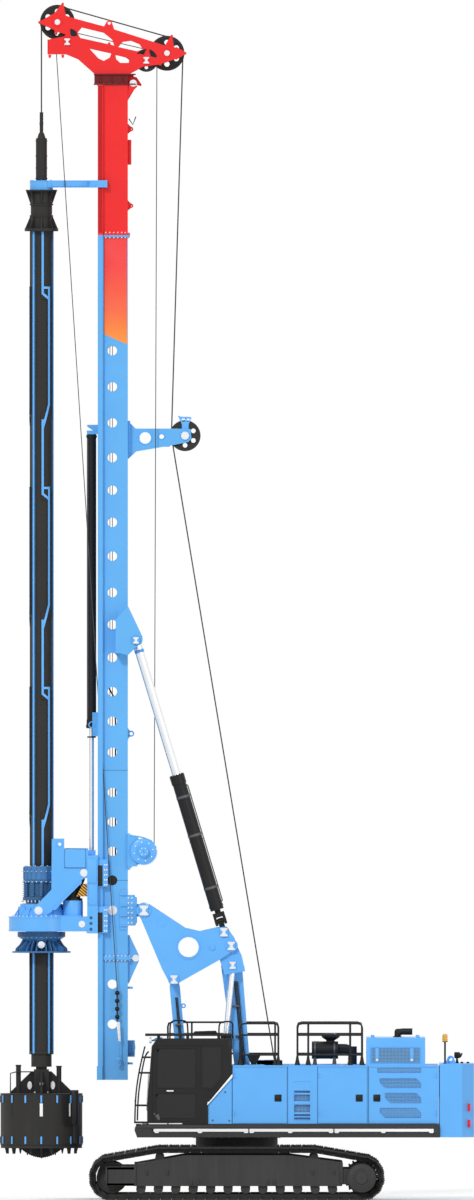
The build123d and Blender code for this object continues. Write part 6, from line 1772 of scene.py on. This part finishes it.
# crowd cylinder: seat ring, top bracket gusset, rod eye
crowdX = -2.904
bm = bmesh.new()
ring(bm, band(0.090, 0.112, 0, 0.06), (crowdX, 0, 9.44), (0, 0, 1), 32)
ring(bm, band(0.090, 0.108, 0, 0.05), (crowdX, 0, 15.24), (0, 0, 1), 32)
ring(bm, [(0.050, 0), (0.090, 0), (0.085, 0.03), (0.050, 0.03)], (crowdX, 0, 9.24), (0, 0, 1), 32)
done("crowdRings", bm, "mast", "black")
bm = bmesh.new()
sideSlabs(bm, band(-2.888, -2.777, 9.272, 9.748), 0.140, 0.153, 0.003)
for z in (9.33, 9.69):
    sideRings(bm, band(0.002, 0.016, 0, 0.010), -2.862, 0.153, z, 12)
sideRings(bm, band(0.046, 0.068, -0.05, 0.012), -2.900, 0.150, 9.50)
done("crowdClamp", bm, "mast", "mastBlue")
bm = bmesh.new()
gusset = [(-2.775, 15.30), (-2.775, 15.50), (-2.985, 15.50), (-3.000, 15.47), (-2.93, 15.42), (-2.83, 15.36)]
sideSlabs(bm, gusset, 0.085, 0.105, 0.004)
block(bm, (-3.000, -0.115, 15.370), (-2.775, 0.115, 15.385), 0.003)
done("crowdTopBracket", bm, "mast", "mastBlue")
bm = bmesh.new()
ring(bm, band(0.030, 0.078, -0.074, 0.074), (crowdX, 0, 6.916), (0, 1, 0), 32)
done("crowdRodEye", bm, "rotary_head", "steel", "chrome")
tubing("crowdPipe", [[(crowdX - 0.07, -0.085, 9.62), (crowdX - 0.07, -0.085, 15.22)]], 0.010, "mast", "steel")
print("ropes done")


# camera, light and floor

def lookAt(thing, target):
    thing.rotation_euler = (Vector(target) - thing.location).to_track_quat("-Z", "Y").to_euler()


def addSun(name, energy, fromPoint, angle):
    data = bpy.data.lights.new(name, "SUN")
    data.energy = energy
    data.angle = math.radians(angle)
    sun = bpy.data.objects.new(name, data)
    bpy.context.scene.collection.objects.link(sun)
    sun.location = fromPoint
    lookAt(sun, (0, 0, 8))


studio = {"distance": 1000.0, "lens": 1000.0, "middle": (0.005, 0, 11.995), "heightSeen": 24.0, "world": 0.54,
          "floorGlow": 0.16, "floorHalf": 60, "floorZ": -0.002}
cameraData = bpy.data.cameras.new("sideCamera")
cameraData.lens = studio["lens"]
cameraData.sensor_fit = "VERTICAL"
cameraData.sensor_height = studio["heightSeen"] * studio["lens"] / studio["distance"]
cameraData.sensor_width = 2.5 * cameraData.sensor_height
cameraData.clip_end = 4000
camera = bpy.data.objects.new("sideCamera", cameraData)
bpy.context.scene.collection.objects.link(camera)
camera.location = Vector(studio["middle"]) - Vector((0, studio["distance"], 0))
lookAt(camera, studio["middle"])
bpy.context.scene.camera = camera

addSun("keySun", 1.3, (-14, -30, 30), 8)
addSun("fillSun", 0.47, (25, -30, 12), 25)
addSun("backSun", 0.8, (10, 30, 26), 15)


def whiteSky(world):
    world.use_nodes = True
    tree = world.node_tree
    rays = tree.nodes.new("ShaderNodeLightPath")
    seen = [Wire(tree, rays.outputs[name]) for name in ("Is Camera Ray", "Is Glossy Ray",
                                                        "Is Transmission Ray")]
    anySeen = seen[0].math("MAXIMUM", seen[1]).math("MAXIMUM", seen[2])
    back = tree.nodes["Background"]
    back.inputs["Color"].default_value = (1, 1, 1, 1)
    tree.links.new((studio["world"] + (1 - studio["world"]) * anySeen).socket, back.inputs["Strength"])


bpy.context.scene.world = bpy.data.worlds.new("paleStudio")
whiteSky(bpy.context.scene.world)


def floorMaterial():
    material = bpy.data.materials.new("paleFloor")
    material.use_nodes = True
    tree = material.node_tree
    shader = tree.nodes["Principled BSDF"]
    shader.inputs["Roughness"].default_value = 0.9
    shader.inputs["Emission Strength"].default_value = 1.0
    seen = addNode(tree, "ShaderNodeLightPath")
    tree.links.new((seen * studio["floorGlow"]).socket, shader.inputs["Emission Color"])
    grain = noise(tree, objectPlace(tree)[0], 0.6, 3)
    tree.links.new(mix(tree, grain, (0.86, 0.86, 0.86), (0.90, 0.90, 0.90)).socket,
                   shader.inputs["Base Color"])
    return material


bm = bmesh.new()
bmesh.ops.create_grid(bm, x_segments=1, y_segments=1, size=studio["floorHalf"],
                      matrix=Matrix.Translation((0, 0, studio["floorZ"])))
floorMesh = bpy.data.meshes.new("floor")
bm.to_mesh(floorMesh)
bm.free()
floor = bpy.data.objects.new("floor", floorMesh)
bpy.context.scene.collection.objects.link(floor)
floorMesh.materials.append(floorMaterial())

bpy.context.scene.view_settings.view_transform = "Standard"
